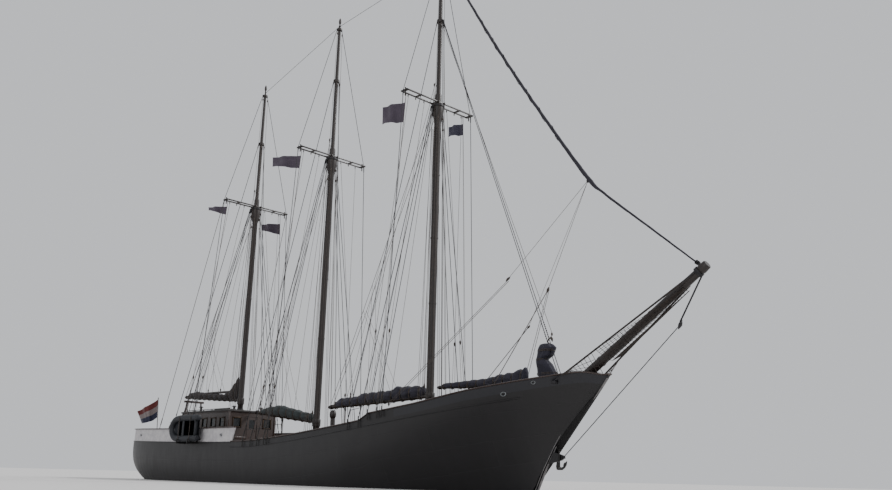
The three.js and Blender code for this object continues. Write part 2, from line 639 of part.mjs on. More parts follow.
/** Room for a piece by its neighbour: the piece less the neighbour moved a little each way. */
function clearOf(made, neighbour, by = GAP) {
  const moves = [[by, 0, 0], [-by, 0, 0], [0, by, 0], [0, -by, 0], [0, 0, by], [0, 0, -by]];
  return moves.reduce((left, [x, y, z]) => left.subtract(solid(geometryOf(neighbour).translate(x, y, z))), made);
}

const NET = { foreX: 25.3, foreY: 0.27, aftX: 21.35, innerY: 0.19, under: 0.27, thick: 0.024 };
const guyEnd = (d) => V(GUY.toX, d * (hullSide(GUY.toX, GUY.toZ) + GUY.toOut), GUY.toZ);
const guyRod = (d, radius) => rod(V(GUY.fromX, d * (GUY.fromY - 0.02), bowspritZ(GUY.fromX)), guyEnd(d), radius, radius, 6);

/** Side guys and bobstay from the band near the bowsprit's end. */
function guys(body) {
  const bandZ = bowspritZ(GUY.fromX);
  const band = rod(V(25.86, 0, bowspritZ(25.86)), V(26, 0, bowspritZ(26)), 0.24, 0.235, 16).subtract(bowspritSolid(GAP));
  const sides = [-1, 1].flatMap((d) => {
    const end = guyEnd(d);
    const y = (out) => d * (Math.abs(end.y) + out);
    const plate = box(V(end.x - 0.12, Math.min(y(-0.185), y(0.03)), end.z - 0.1), V(end.x + 0.12, Math.max(y(-0.185), y(0.03)), end.z + 0.04));
    return [clearOf(plate, body), guyRod(d, GUY.radius)];
  });
  const block = V(24.95, 0, 7.05);
  const foot = V(BRACKET.foreX + GAP, 0, BRACKET.z);
  const bobstay = [
    rod(V(GUY.fromX + 0.125, 0, bandZ - 0.19), block, 0.03, 0.03, 6),
    rod(block.clone().add(V(0.1, 0, 0.18)), block.clone().add(V(-0.1, 0, -0.18)), 0.06, 0.06, 6),
    rod(block, foot.clone().add(V(0.06, 0, 0.05)), 0.026, 0.026, 6),
    box(V(foot.x, -0.035, foot.z - 0.05), V(foot.x + 0.1, 0.035, foot.z + 0.08)),
  ];
  return join([band, ...sides, ...bobstay]);
}

/** The safety net: a flat wing on each side between the bowsprit and its guy, joined by a strip beneath the spar. */
function net() {
  const { foreX, aftX, innerY, under, thick } = NET;
  const edge = (x) => bowspritZ(x) - under;
  const share = (GUY.fromX - aftX) / (GUY.fromX - GUY.toX);
  const aftY = lerp(GUY.fromY - 0.02, guyEnd(1).y, share) - GUY.radius - 2 * GAP;
  const rise = (lerp(bowspritZ(GUY.fromX), GUY.toZ, share) - edge(aftX)) / (aftY - innerY);
  const ring = (x, from, to) => {
    const top = [from, to].map((y) => V(x, y, edge(x) + rise * (Math.abs(y) - innerY)));
    return [...top, ...top.map((p) => V(p.x, p.y, p.z - thick)).reverse()];
  };
  const strip = loft([ring(foreX, -innerY, innerY), ring(aftX, -innerY, innerY)]);
  const wings = [-1, 1].map((d) => loft([ring(foreX, d * innerY, d * NET.foreY), ring(aftX, d * innerY, d * aftY)]));
  return join([strip, ...wings]);
}

/** A furled staysail bundled round the foot of the inner forestays. */
function staysailBag() {
  const ring = ([z, aftX, foreX, halfY]) =>
    Array.from({ length: 10 }, (_, i) => {
      const a = (2 * Math.PI * i) / 10;
      return V((aftX + foreX) / 2 + ((foreX - aftX) / 2) * Math.cos(a), halfY * Math.sin(a), z);
    });
  const bag = loft(BUNDLE.body.map(ring)).add(loft(BUNDLE.head.map(ring)));
  const post = rod(V(STAYSAIL_BOOM.x, 0, 3), V(STAYSAIL_BOOM.x, 0, 8), 0.26, 0.26, 16);
  return bag.subtract(clearRoomOfStays()).subtract(post);
}

const clearRoomOfStays = () => {
  const fore = mastNamed("fore");
  const bandZ = fore.head - UPPER_HOUNDS_BELOW_HEAD - 0.03;
  const startX = fore.x + fore.upper * 1.5 + GAP + 0.04;
  const footZ = bowspritZ(18.78) + 0.3;
  return join([-1, 1].map((d) => rod(V(startX, d * 0.03, bandZ), V(18.78, d * 0.11, footZ), 0.022 + 2 * GAP, 0.022 + 2 * GAP, 5)).concat([
    box(V(18.6, -0.16, footZ - 0.3), V(18.95, 0.16, footZ + 0.035)),
  ]));
};

// Booms and furled sails

const collarInner = (poleRadius) => (poleRadius + 0.0008) / Math.cos(Math.PI / ROUND);

/** A boom's spar with its bands; `grown` leaves room for it in the sail furled on it. */
function boomSpar(x, { z, length, rise, radius }, inner, grown = 0) {
  const at = (u) => V(x - length * u, 0, z + rise * u);
  const near = (inner + COLLAR.wall * 0.6) / length;
  const spar = rod(at(near), at(1), radius + grown, radius * 0.85 + grown, 10);
  const bands = [0.4, 0.97].map((u) => {
    const half = (0.05 + grown) / length;
    return rod(at(u - half), at(u + half), radius + 0.015 + grown, radius + 0.015 + grown, 10);
  });
  return join([spar, ...bands]);
}

/** A boom with the collar that turns round its mast. */
function boomSolid(x, boom, poleRadius) {
  const inner = collarInner(poleRadius);
  return boomSpar(x, boom, inner).add(ringRound(x, boom.z, inner, inner + COLLAR.wall, COLLAR.half));
}

/** A sail furled on its boom with its gaff laid in it. */
function furlSolid(x, boom, sections, gaff, poleRadius) {
  const axisZ = (r) => boom.z + (boom.rise * r) / boom.length;
  const rings = sections.map(([r, top, half]) => {
    const high = (top + 0.06) / 2;
    return Array.from({ length: 10 }, (_, i) => {
      const a = (2 * Math.PI * i) / 10;
      return V(x - r, half * Math.cos(a), axisZ(r) + top - high + high * Math.sin(a));
    });
  });
  const pieces = [loft(rings)];
  if (gaff) {
    const [near, nearZ, far, farZ, radius] = gaff;
    pieces.push(rod(V(x - near, 0, axisZ(near) + nearZ), V(x - far, 0, axisZ(far) + farZ), radius, radius * 0.8, 8));
  }
  return join(pieces).subtract(boomSpar(x, boom, collarInner(poleRadius), GAP));
}

// Deckhouse and deck gear

const aboutX = (x, y, z, halfX, halfY, halfZ) => box(V(x - halfX, y - halfY, z - halfZ), V(x + halfX, y + halfY, z + halfZ));

function houseWalls() {
  const { aftX, foreX, half, floorZ, wallTop, wall } = HOUSE;
  const outer = box(V(aftX, -half, floorZ), V(foreX, half, wallTop));
  const inner = box(V(aftX + wall, -half + wall, floorZ - 1), V(foreX - wall, half - wall, wallTop + 1));
  const midZ = (WINDOW.low + WINDOW.high) / 2;
  const halfZ = (WINDOW.high - WINDOW.low) / 2;
  const cuts = Array.from({ length: WINDOW.sideCount }, (_, i) =>
    aboutX(WINDOW.firstX + i * WINDOW.pitch, 0, midZ, WINDOW.half, half + 1, halfZ)
  );
  for (const y of [-1.15, 1.15]) cuts.push(aboutX(foreX, y, midZ, 0.5, 0.3, halfZ), aboutX(aftX, y, midZ, 0.5, 0.3, halfZ));
  cuts.push(aboutX(aftX, 0, midZ, 0.5, 0.3, halfZ));
  cuts.push(box(V(foreX - 0.5, -DOOR.half - DOOR.play, DOOR.low), V(foreX + 0.5, DOOR.half + DOOR.play, DOOR.high)));
  return outer.subtract(inner).subtract(join(cuts)).subtract(quarterSeat);
}

function houseRoof() {
  const { aftX, foreX, half, wallTop, roof, eaves } = HOUSE;
  const low = wallTop + GAP;
  const slab = box(V(aftX - eaves, -half - eaves, low), V(foreX + eaves, half + eaves, low + roof));
  const grab = [-1, 1].flatMap((d) => [
    box(V(aftX + 0.2, d * (half - 0.16) - 0.025, low + roof + 0.07), V(foreX - 0.2, d * (half - 0.16) + 0.025, low + roof + 0.11)),
    ...Array.from({ length: 6 }, (_, i) =>
      aboutX(aftX + 0.3 + i * 1.1, d * (half - 0.16), low + roof + 0.04, 0.04, 0.02, 0.05)
    ),
  ]);
  const vents = [[-12.5, -0.9, 0.42], [-12.0, 0.9, 0.42], [-8.0, -1.0, 0.3], [-7.8, 0.95, 0.3]].flatMap(([x, y, h]) => [
    rod(V(x, y, low + roof - 0.02), V(x, y, low + roof + h - 0.05), 0.08, 0.08, 10),
    rod(V(x, y, low + roof + h - 0.08), V(x, y, low + roof + h), 0.17, 0.08, 12),
  ]);
  const skylight = box(V(-11.4, -0.5, low + roof - 0.02), V(-10.2, 0.5, low + roof + 0.26));
  return join([slab, ...grab, ...vents, skylight]).subtract(mastRoom(mastNamed("mizzen"), GAP));
}

function houseDoor() {
  const x = HOUSE.foreX - 0.045;
  const leaf = aboutX(x, 0, (DOOR.low + DOOR.high) / 2, DOOR.thick / 2, DOOR.half, (DOOR.high - DOOR.low) / 2 - 0.012);
  const light = aboutX(x, 0, 3.72, 0.2, 0.2, 0.28);
  const pinY = -DOOR.half + 0.014;
  const pins = rod(V(x, pinY, DOOR.low + GAP), V(x, pinY, DOOR.high - GAP), DOOR.pin, DOOR.pin, 8);
  const handle = aboutX(x + 0.05, DOOR.half - 0.06, 3.3, 0.03, 0.012, 0.05);
  return join([leaf.subtract(light), pins, handle]);
}

function steps(d) {
  const top = quarterDeckTop(HULL.breakX) - 0.02;
  const y = d * 2.2;
  const treads = [0, 1, 2].map((i) => aboutX(HULL.breakX + 0.13 + 0.24 * i, y, top - 0.2 - 0.21 * i, 0.12, 0.38, 0.02));
  const outline = [
    [HULL.breakX + 0.01, top],
    [HULL.breakX + 0.01, 1.3],
    [HULL.breakX + 0.85, 1.3],
    [HULL.breakX + 0.85, 1.78],
    [HULL.breakX + 0.2, top],
  ];
  const cheeks = [-0.4, 0.36].map((off) => plateXZ(outline, y + off, y + off + 0.04));
  const posts = [-0.38, 0.38].map((off) => rod(V(HULL.breakX + 0.7, y + off, 1.6), V(HULL.breakX + 0.7, y + off, 2.75), 0.025, 0.025, 6));
  return join([...treads, ...cheeks, ...posts]).subtract(mainSeat);
}

function trunk() {
  const { aftX, foreX, half, top, hatch, hatchX, well } = TRUNK;
  const block = box(V(aftX, -half, 1.8), V(foreX, half, top));
  const cap = box(V(aftX - 0.07, -half - 0.07, top - 0.07), V(foreX + 0.07, half + 0.07, top));
  const coaming = aboutX(hatchX, 0, top + 0.04, hatch, hatch, 0.07);
  const room = aboutX(hatchX, 0, top + 0.4 - well, hatch - 0.05, hatch - 0.05, 0.4);
  return join([block, cap, coaming]).subtract(room).subtract(mainSeat);
}
const hatchTop = TRUNK.top + 0.11;
const hatchHinge = V(TRUNK.hatchX + TRUNK.hatch + 0.05, 0, hatchTop + 0.03);
function hatchLid() {
  const { hatch, hatchX } = TRUNK;
  const plate = box(V(hatchX - hatch - 0.05, -hatch - 0.05, hatchTop + GAP), V(hatchX + hatch + 0.03, hatch + 0.05, hatchTop + 0.06));
  const handle = aboutX(hatchX - hatch + 0.08, 0, hatchTop + 0.08, 0.02, 0.12, 0.025);
  return plate.add(handle);
}

/** A rail on posts round a mast's foot, with its winches. */
function fifeRail(mast, height) {
  const deck = mainDeckTop(mast.x);
  const [aft, fore, side] = [mast.x - 0.75, mast.x + 0.75, 0.75];
  const bars = [
    ...[-1, 1].map((d) => aboutX(mast.x, d * side, deck + height, 0.85, 0.07, 0.035)),
    aboutX(fore, 0, deck + height, 0.07, side, 0.035),
  ];
  const posts = [aft, fore].flatMap((x) => [-side, side].map((y) => box(V(x - 0.055, y - 0.055, deck - 0.3), V(x + 0.055, y + 0.055, deck + height))));
  const winches = [-1, 1].flatMap((d) => [
    rod(V(fore, d * 0.42, deck - 0.1), V(fore, d * 0.42, deck + height + 0.1), 0.09, 0.09, 10),
    rod(V(fore, d * 0.42, deck + height + 0.08), V(fore, d * 0.42, deck + height + 0.22), 0.13, 0.11, 12),
  ]);
  return join([...bars, ...posts, ...winches]).subtract(mainSeat);
}

function windlassFrame() {
  const deck = mainDeckTop(15.9);
  const base = box(V(15.4, -0.62, deck - 0.3), V(16.3, 0.62, deck + 0.12));
  const cheeks = [-1, 1].map((d) => aboutX(15.85, d * 0.45, deck + 0.4, 0.16, 0.06, 0.35));
  const bores = rod(V(15.85, -1.2, deck + 0.52), V(15.85, 1.2, deck + 0.52), 0.0562, 0.0562, 24);
  return join([base, ...cheeks]).subtract(bores).subtract(mainSeat);
}
const windlassZ = mainDeckTop(15.9) + 0.52;
function windlassDrum() {
  const bar = (y0, y1, r0, r1 = r0, sides = 12) => rod(V(15.85, y0, windlassZ), V(15.85, y1, windlassZ), r0, r1, sides);
  return join([
    bar(-0.9, 0.9, 0.055, 0.055, 24),
    bar(-0.36, 0.36, 0.19),
    bar(-0.36, -0.3, 0.25),
    bar(0.3, 0.36, 0.25),
    bar(-0.88, -0.56, 0.17, 0.13),
    bar(0.56, 0.88, 0.13, 0.17),
  ]);
}

const HELM = { x: -17.3, z: 3.62, rim: 0.52, halfBox: 0.16 };
function helmPedestal() {
  const deck = quarterDeckTop(HELM.x);
  const stand = box(V(HELM.x - HELM.halfBox, -0.2, deck - 0.3), V(HELM.x + HELM.halfBox, 0.2, HELM.z + 0.12));
  const dome = rod(V(HELM.x, 0, HELM.z + 0.1), V(HELM.x, 0, HELM.z + 0.34), 0.17, 0.1, 12);
  return stand.add(dome).subtract(quarterSeat);
}
function helmWheel() {
  const wheelX = HELM.x - HELM.halfBox - 0.16;
  const ring = new THREE.TorusGeometry(HELM.rim, 0.03, 5, 16);
  ring.rotateY(Math.PI / 2);
  ring.translate(wheelX, 0, HELM.z);
  const spokes = Array.from({ length: 3 }, (_, i) => {
    const a = (Math.PI * i) / 3;
    const reach = V(0, Math.cos(a), Math.sin(a)).multiplyScalar(HELM.rim + 0.14);
    const centre = V(wheelX, 0, HELM.z);
    return rod(centre.clone().sub(reach), centre.clone().add(reach), 0.018, 0.018, 4);
  });
  const hub = rod(V(wheelX - 0.05, 0, HELM.z), V(HELM.x - HELM.halfBox - GAP, 0, HELM.z), 0.07, 0.06, 12);
  return join([solid(ring), ...spokes, hub]);
}

const GALLOWS = { x: -15.2, top: 5.56, half: 0.75 };
function gallows() {
  const posts = [-1, 1].map((d) => rod(V(GALLOWS.x, d * 0.9, 2.3), V(GALLOWS.x, d * 0.55, GALLOWS.top - 0.08), 0.07, 0.06, 10));
  const beam = aboutX(GALLOWS.x, 0, GALLOWS.top - 0.07, 0.1, GALLOWS.half, 0.07);
  const cross = aboutX(GALLOWS.x, 0, 3.9, 0.03, 0.74, 0.04);
  return join([...posts, beam, cross]).subtract(quarterSeat);
}

/** The post with a round head that takes the fore boom's end. */
function crutch() {
  const x = 1.42;
  return join([
    rod(V(x, 0, 1.3), V(x, 0, 3.9), 0.14, 0.11, 12),
    rod(V(x, 0, 3.88), V(x, 0, 4.12), 0.17, 0.2, 12),
    rod(V(x, 0, 4.1), V(x, 0, 4.34), 0.2, 0.12, 12),
  ]).subtract(mainSeat);
}

/** The pedestal of the staysail's boom, with the pin on which it turns. */
function pedestal() {
  const { x, z, post } = STAYSAIL_BOOM;
  return join([
    rod(V(x, 0, 3.2), V(x, 0, z - COLLAR.half - GAP - 0.4), 0.2, 0.14, 12),
    rod(V(x, 0, z - COLLAR.half - GAP - 0.42), V(x, 0, z - COLLAR.half - GAP), 0.14, 0.14, 12),
    rod(V(x, 0, z - 0.3), V(x, 0, z + COLLAR.half + 0.04), post, post, ROUND),
  ]).subtract(mainSeat);
}

const BRACKET = { foreX: 18.68, z: 1.62, half: 0.06 };
const bracket = () =>
  plateXZ([[17.6, 1.3], [18.6, 1.5], [BRACKET.foreX, 1.55], [BRACKET.foreX, 1.72], [17.9, 1.95]], -BRACKET.half, BRACKET.half);

/** The anchor, hung beside the bracket on the stem. */
function anchor() {
  const [x, y] = [18.54, -(BRACKET.half + 0.053 + GAP)];
  const flukes = [-1, 1].map((d) => {
    const tip = loft([
      [V(x - 0.05, y + d * 0.05, 1.08), V(x + 0.05, y + d * 0.05, 1.08), V(x + 0.05, y + d * 0.05, 1.22), V(x - 0.05, y + d * 0.05, 1.22)],
      [V(x + 0.05, y + d * 0.3, 1.18), V(x + 0.15, y + d * 0.3, 1.18), V(x + 0.13, y + d * 0.26, 1.3), V(x + 0.06, y + d * 0.26, 1.3)],
      [V(x + 0.16, y + d * 0.34, 1.46), V(x + 0.19, y + d * 0.34, 1.46), V(x + 0.18, y + d * 0.32, 1.49), V(x + 0.165, y + d * 0.32, 1.49)],
    ]);
    return tip;
  });
  return join([
    rod(V(x, y, 1.16), V(x, y, 1.9), 0.053, 0.053, 8),
    aboutX(x, y, 1.14, 0.07, 0.1, 0.07),
    aboutX(x + 0.01, y - 0.036, 1.93, 0.027, 0.05, 0.07),
    ...flukes,
  ]);
}

/** The tender, a round-nosed inflatable stowed on its edge outboard of the starboard quarter. */
const TENDER = { aftX: -11.05, foreX: -7.4, y: -3.78, z: 3.3, halfTall: 0.85, tube: 0.21 };
function tender() {
  const { aftX, foreX, y, z, halfTall, tube } = TENDER;
  const path = [V(foreX, y, z - halfTall + tube), V(aftX + 1.1, y, z - halfTall + tube), V(aftX + 0.4, y, z - 0.42), V(aftX + tube, y, z)];
  const upper = path.slice(0, 3).map((p) => V(p.x, p.y, 2 * z - p.z)).reverse();
  const tubes = sweep([...path, ...upper], path.concat(upper).map(() => tube), 8);
  const floor = box(V(aftX + 0.5, y + 0.06, z - 0.5), V(foreX - 0.1, y + 0.12, z + 0.5)).add(
    box(V(aftX + 1.0, y + 0.06, z - 0.66), V(foreX - 0.1, y + 0.12, z + 0.66))
  );
  const transom = box(V(foreX - 0.3, y - 0.16, z - halfTall + 0.16), V(foreX - 0.24, y + 0.16, z + halfTall - 0.16));
  return join([tubes, floor, transom]);
}

/** Two arms on a bar outside the bulwark, under the tender's edge. */
function tenderBrackets() {
  const { y, z, halfTall, tube } = TENDER;
  const seat = z - halfTall - GAP;
  const side = -(HULL.halfBeam - QUARTER.setIn + GAP);
  const bar = box(V(-10.1, side - 0.09, 2.56), V(-7.9, side, 2.68));
  const arms = [-9.6, -8.2].flatMap((x) => [
    box(V(x - 0.04, side - 0.12, 2.34), V(x + 0.04, side - 0.05, 2.66)),
    box(V(x - 0.04, y - tube - 0.1, 2.34), V(x + 0.04, side - 0.05, seat)),
    box(V(x - 0.04, y - tube - 0.1, 2.34), V(x + 0.04, y - tube - 0.04, 2.62)),
  ]);
  return join([bar, ...arms]);
}

const STAFF = { footX: -20.35, topX: -20.76, top: 6.0 };
const staffRadius = (z) => lerp(0.035, 0.022, (z - 2.3) / (STAFF.top - 2.3));
const staff = () => rod(V(STAFF.footX, 0, 2.3), V(STAFF.topX, 0, STAFF.top), 0.035, 0.022, 8).add(rod(V(STAFF.topX, 0, STAFF.top - 0.02), V(STAFF.topX, 0, STAFF.top + 0.07), 0.045, 0.02, 8)).subtract(quarterSeat);

/** A flag as a thin waved sheet: hoist corners, and fly corners. */
function flagSolid(top, foot, flyTop, flyFoot, waves, thick = 0.008) {
  const normal = flyTop.clone().sub(top).cross(V(0, 0, 1)).normalize();
  const steps = 8;
  return loft(
    Array.from({ length: steps + 1 }, (_, i) => {
      const t = i / steps;
      const wave = waves * Math.sin(t * Math.PI * 2.4) * Math.min(1, t * 2.5);
      const a = top.clone().lerp(flyTop, t).addScaledVector(normal, wave);
      const b = foot.clone().lerp(flyFoot, t).addScaledVector(normal, wave * 0.8);
      const off = normal.clone().multiplyScalar(thick);
      return [a.clone().add(off), b.clone().add(off), b.clone().sub(off), a.clone().sub(off)];
    })
  );
}

const ensign = () => {
  const at = (z) => {
    const off = staffRadius(z) + 0.0012;
    return V(lerp(STAFF.footX, STAFF.topX, (z - 2.3) / (STAFF.top - 2.3)) - off * 0.69, -off * 0.72, z);
  };
  const top = at(5.93);
  const foot = at(4.55);
  return flagSolid(top, foot, V(top.x - 1.1, -1.1, 5.0), V(foot.x - 0.85, -0.85, 4.1), 0.14, 0.01);
};

const quarterRailRoom = rimSlab({
  from: 0,
  to: breakShare + 0.02,
  out: CAP.out,
  levels: [raised(quarterRail, -0.3), raised(quarterRail, CAP.thick + GAP)],
});
const mainRailRoom = rimSlab({
  from: breakShare - 0.02,
  to: 1,
  out: CAP.out,
  levels: [raised(sheer, -0.3), raised(sheer, CAP.thick + GAP)],
});

// Signal halyards: mast, side, distance of the halyard abaft the mast at the rail, hoist top and foot, fly
const FLAGS = [
  { name: "fore_flag_starboard", mast: "fore", d: -1, footAft: 0.55, top: 20.9, foot: 19.7, fly: 1.35, drop: 0.15, end: 1.0 },
  { name: "fore_flag_port", mast: "fore", d: 1, footAft: 0.55, top: 21.0, foot: 20.3, fly: 0.9, drop: 0.1, end: 0.6 },
  { name: "main_flag_starboard", mast: "main", d: -1, footAft: 0.55, top: 20.2, foot: 19.35, fly: 2.0, drop: -0.05, end: 0.6 },
  { name: "mizzen_flag_starboard", mast: "mizzen", d: -1, footAft: 0.55, top: 18.6, foot: 18.0, fly: 1.5, drop: -0.05, end: 0.2 },
  { name: "mizzen_flag_port", mast: "mizzen", d: 1, footAft: 0.55, top: 18.3, foot: 17.5, fly: 1.5, drop: -0.05, end: 0.45 },
];

function flagOnHalyard({ mast: mastName, d, footAft, top, foot, fly, drop, end }) {
  const mast = mastNamed(mastName);
  const y = d * mast.half * 0.86;
  const highZ = mast.crosstree - CROSSTREE.bar + GAP - 2 * GAP;
  const railZ = (mastName === "mizzen" ? quarterRail : sheer)(mast.x - footAft) + CAP.thick + GAP;
  const rimY = rimPoint(shareAt(mast.x - footAft, railZ), railZ, -0.05).y;
  const high = V(mast.x - mast.lower - 0.04, y, highZ);
  const low = V(mast.x - footAft, d * rimY, railZ);
  const at = (z) => high.clone().lerp(low, (highZ - z) / (highZ - railZ));
  const room = mastName === "mizzen" ? quarterRailRoom : mainRailRoom;
  const cleat = aboutX(low.x, low.y, railZ + 0.04, 0.06, 0.03, 0.07).subtract(room);
  const block = box(V(high.x - 0.03, high.y - 0.03, highZ - 0.1), V(high.x + 0.03, high.y + 0.03, highZ));
  const line = rod(low.clone().add(V(0, 0, 0.05)), high.clone().add(V(0, 0, -0.04)), 0.01, 0.01, 4);
  const a = at(top);
  const b = at(foot);
  const away = V(-0.86, -0.5, 0).multiplyScalar(fly);
  const flyTop = a.clone().add(away).add(V(0, 0, -drop));
  const flag = flagSolid(a, b, flyTop, flyTop.clone().add(V(0, 0, -end)), 0.1);
  return join([line, cleat, block, flag]);
}

// Rudder and propeller

function rudder() {
  const { x, top, foot, foreX, aftX, half } = RUDDER;
  const blade = plateXZ([[foreX, foot], [foreX, top], [x - 0.25, top], [aftX + 0.25, top - 0.12], [aftX, top - 0.5], [aftX, foot + 0.2], [aftX + 0.25, foot]], -half, half);
  const stock = rod(V(x, 0, foot + 0.02), V(x, 0, top), 0.085, 0.085, 12);
  const pintle = rod(V(x, 0, KEEL.shoeTop + GAP), V(x, 0, foot + 0.05), 0.05, 0.05, 12);
  return join([blade, stock, pintle]);
}

function propeller() {
  const { z, foreX, aftX, radius, hub } = PROPELLER;
  const blades = [0, 1, 2].map((i) => {
    const blade = new THREE.SphereGeometry(1, 8, 5);
    blade.scale(0.02, 0.17, radius / 2);
    blade.rotateZ(0.9);
    blade.translate(0, 0, radius / 2);
    blade.rotateX((2 * Math.PI * i) / 3);
    blade.translate((foreX + aftX) / 2, 0, z);
    return solid(blade);
  });
  return join([rod(V(foreX, 0, z), V(aftX, 0, z), hub, hub * 0.6, 12), ...blades]);
}

// The whole ship

const ship = new THREE.Group();
ship.name = "three_masted_schooner";

function place(name, made, finish) {
  const mesh = new THREE.Mesh(geometryOf(made), new THREE.MeshStandardMaterial(FINISH[finish]));
  mesh.name = name;
  ship.add(mesh);
  return made;
}

const [fore, main, mizzen] = MASTS;
const steppedRoom = (made, masts) => masts.reduce((left, mast) => left.subtract(mastRoom(mast, GAP)), made);
const body = steppedRoom(hull().add(bracket()), MASTS);
place("hull", body, "blackPaint");
place("main_deck", steppedRoom(mainDeck(), [fore, main]), "deckPlank");
place("quarterdeck", steppedRoom(quarterDeck(), [mizzen]), "deckPlank");
place("quarterdeck_bulwark", quarterBulwark(), "whitePaint");
place("main_rail", mainRail(), "railWood");
place("quarterdeck_rail", quarterRailCap(), "railWood");
place("rudder", rudder(), "blackPaint");
place("propeller", propeller(), "bronze");
place("bowsprit", bowspritSolid(), "mastPaint");
place("bowsprit_guys", guys(body), "wire");
place("bowsprit_net", net(), "net");
for (const mast of MASTS) {
  place(`${mast.name}_mast`, mastSolid(mast), "mastPaint");
  place(`${mast.name}_crosstrees`, crosstreeSolid(mast), "mastPaint");
  place(`${mast.name}_shrouds`, shroudSolid(mast, mast === mizzen ? quarterFoot : mainFoot), "wire");
  const boom = boomNamed(mast.name);
  const pole = mastRadius(mast, boom.z - COLLAR.half);
  place(`${mast.name}_boom`, boomSolid(mast.x, boom, pole), "mastPaint");
  place(`${mast.name}_sail`, furlSolid(mast.x, boom, FURLS[mast.name], GAFFS[mast.name], pole), "sail");
}
place("headstay_jib", headstay(), "sail");
place("inner_forestays", innerStays(), "wire");
place("triatic_stays", triatic(), "wire");
place("staysail_pedestal", pedestal(), "mastPaint");
place("staysail_boom", boomSolid(STAYSAIL_BOOM.x, STAYSAIL_BOOM, STAYSAIL_BOOM.post), "mastPaint");
place("staysail_furled", furlSolid(STAYSAIL_BOOM.x, STAYSAIL_BOOM, STAYSAIL_FURL, null, STAYSAIL_BOOM.post), "sail");
place("staysail_bundle", staysailBag(), "sail");
place("deckhouse_walls", houseWalls(), "houseWood");
place("deckhouse_roof", houseRoof(), "roofPaint");
place("deckhouse_door", houseDoor(), "houseWood");
place("steps_starboard", steps(-1), "railWood");
place("steps_port", steps(1), "railWood");
place("trunk_cabin", trunk(), "houseWood");
place("hatch_lid", hatchLid(), "roofPaint");
place("fore_fife_rail", fifeRail(fore, 0.95), "railWood");
place("main_fife_rail", fifeRail(main, 1.15), "railWood");
place("windlass_frame", windlassFrame(), "castIron");
place("windlass_drum", windlassDrum(), "castIron");
place("helm_pedestal", helmPedestal(), "houseWood");
place("helm_wheel", helmWheel(), "railWood");
place("boom_gallows", gallows(), "railWood");
place("fore_boom_crutch", crutch(), "railWood");
place("anchor", anchor(), "castIron");
place("tender", tender(), "rubber");
place("tender_brackets", tenderBrackets(), "castIron");
place("ensign_staff", staff(), "railWood");
place("ensign", ensign(), "ensign");
for (const flag of FLAGS) place(flag.name, flagOnHalyard(flag), "flag");

ship.scale.setScalar(MODEL_MM_PER_METRE);
export default ship;
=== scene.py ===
"""Looks of a three-masted schooner at 1:2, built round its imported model.

Sizes are metres of the real ship: x forward, y to port, z up from the waterline amidships.
A piece is brought to the half-size model's metres when its mesh is finished.
"""

import json
import logging
import math
from dataclasses import dataclass, field
from enum import Enum
from typing import Any, Callable, Iterable, Sequence

import bmesh
import bpy
from mathutils import Matrix, Vector, noise

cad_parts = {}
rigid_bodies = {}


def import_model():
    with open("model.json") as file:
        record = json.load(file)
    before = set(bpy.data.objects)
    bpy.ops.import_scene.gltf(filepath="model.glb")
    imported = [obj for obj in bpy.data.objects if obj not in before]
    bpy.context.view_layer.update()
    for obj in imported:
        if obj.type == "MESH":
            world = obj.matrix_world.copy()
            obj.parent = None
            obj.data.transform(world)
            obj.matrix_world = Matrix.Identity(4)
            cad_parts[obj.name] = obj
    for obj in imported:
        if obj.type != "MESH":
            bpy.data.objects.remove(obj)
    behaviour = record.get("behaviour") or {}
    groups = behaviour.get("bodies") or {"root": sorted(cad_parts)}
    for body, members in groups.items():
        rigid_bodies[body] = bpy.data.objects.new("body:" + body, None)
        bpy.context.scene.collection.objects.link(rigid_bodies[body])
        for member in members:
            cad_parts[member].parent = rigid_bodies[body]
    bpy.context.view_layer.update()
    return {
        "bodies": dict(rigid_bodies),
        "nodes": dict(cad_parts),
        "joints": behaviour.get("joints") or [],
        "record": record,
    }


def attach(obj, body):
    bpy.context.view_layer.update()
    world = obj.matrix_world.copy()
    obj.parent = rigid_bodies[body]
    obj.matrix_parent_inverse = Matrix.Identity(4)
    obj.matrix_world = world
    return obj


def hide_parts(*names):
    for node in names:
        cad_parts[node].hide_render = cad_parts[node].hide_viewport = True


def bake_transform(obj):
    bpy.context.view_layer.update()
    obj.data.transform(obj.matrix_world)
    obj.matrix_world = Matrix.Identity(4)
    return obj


log = logging.getLogger("schooner")
logging.basicConfig(level=logging.INFO, format="%(message)s")

MODEL_SCALE = 0.5
SHIP = "ship"
UP = Vector((0, 0, 1))  # read only
WAVE_TURN = 6.28  # over a thread's width, this sets a wave texture's ridges about two threads apart
MIX_SHARE, MIX_FIRST, MIX_SECOND, MIX_RESULT = 0, 6, 7, 2  # a colour mix's sockets by number
Point = Sequence[float]
Level = Callable[[float], float]


def vec(x: float, y: float, z: float) -> Vector:
    """Gives a point in metres of the real ship."""
    return Vector((x, y, z))


def mix(low: float, high: float, share: float) -> float:
    """Gives the number a share of the way from low to high."""
    return low + (high - low) * share


def clamp(value: float, low: float = 0.0, high: float = 1.0) -> float:
    """Keeps a number between two limits."""
    return max(low, min(high, value))


# Materials


def linear(colour: str) -> tuple[float, float, float, float]:
    """Turns an sRGB hex colour to linear light.

    Args:
        colour: six hex digits, such as "1d1a1c".

    Returns:
        Red, green, blue and an alpha of 1.
    """
    parts = [int(colour[i : i + 2], 16) / 255 for i in (0, 2, 4)]
    red, green, blue = ((c / 12.92) if c <= 0.04045 else ((c + 0.055) / 1.055) ** 2.4 for c in parts)
    return red, green, blue, 1.0


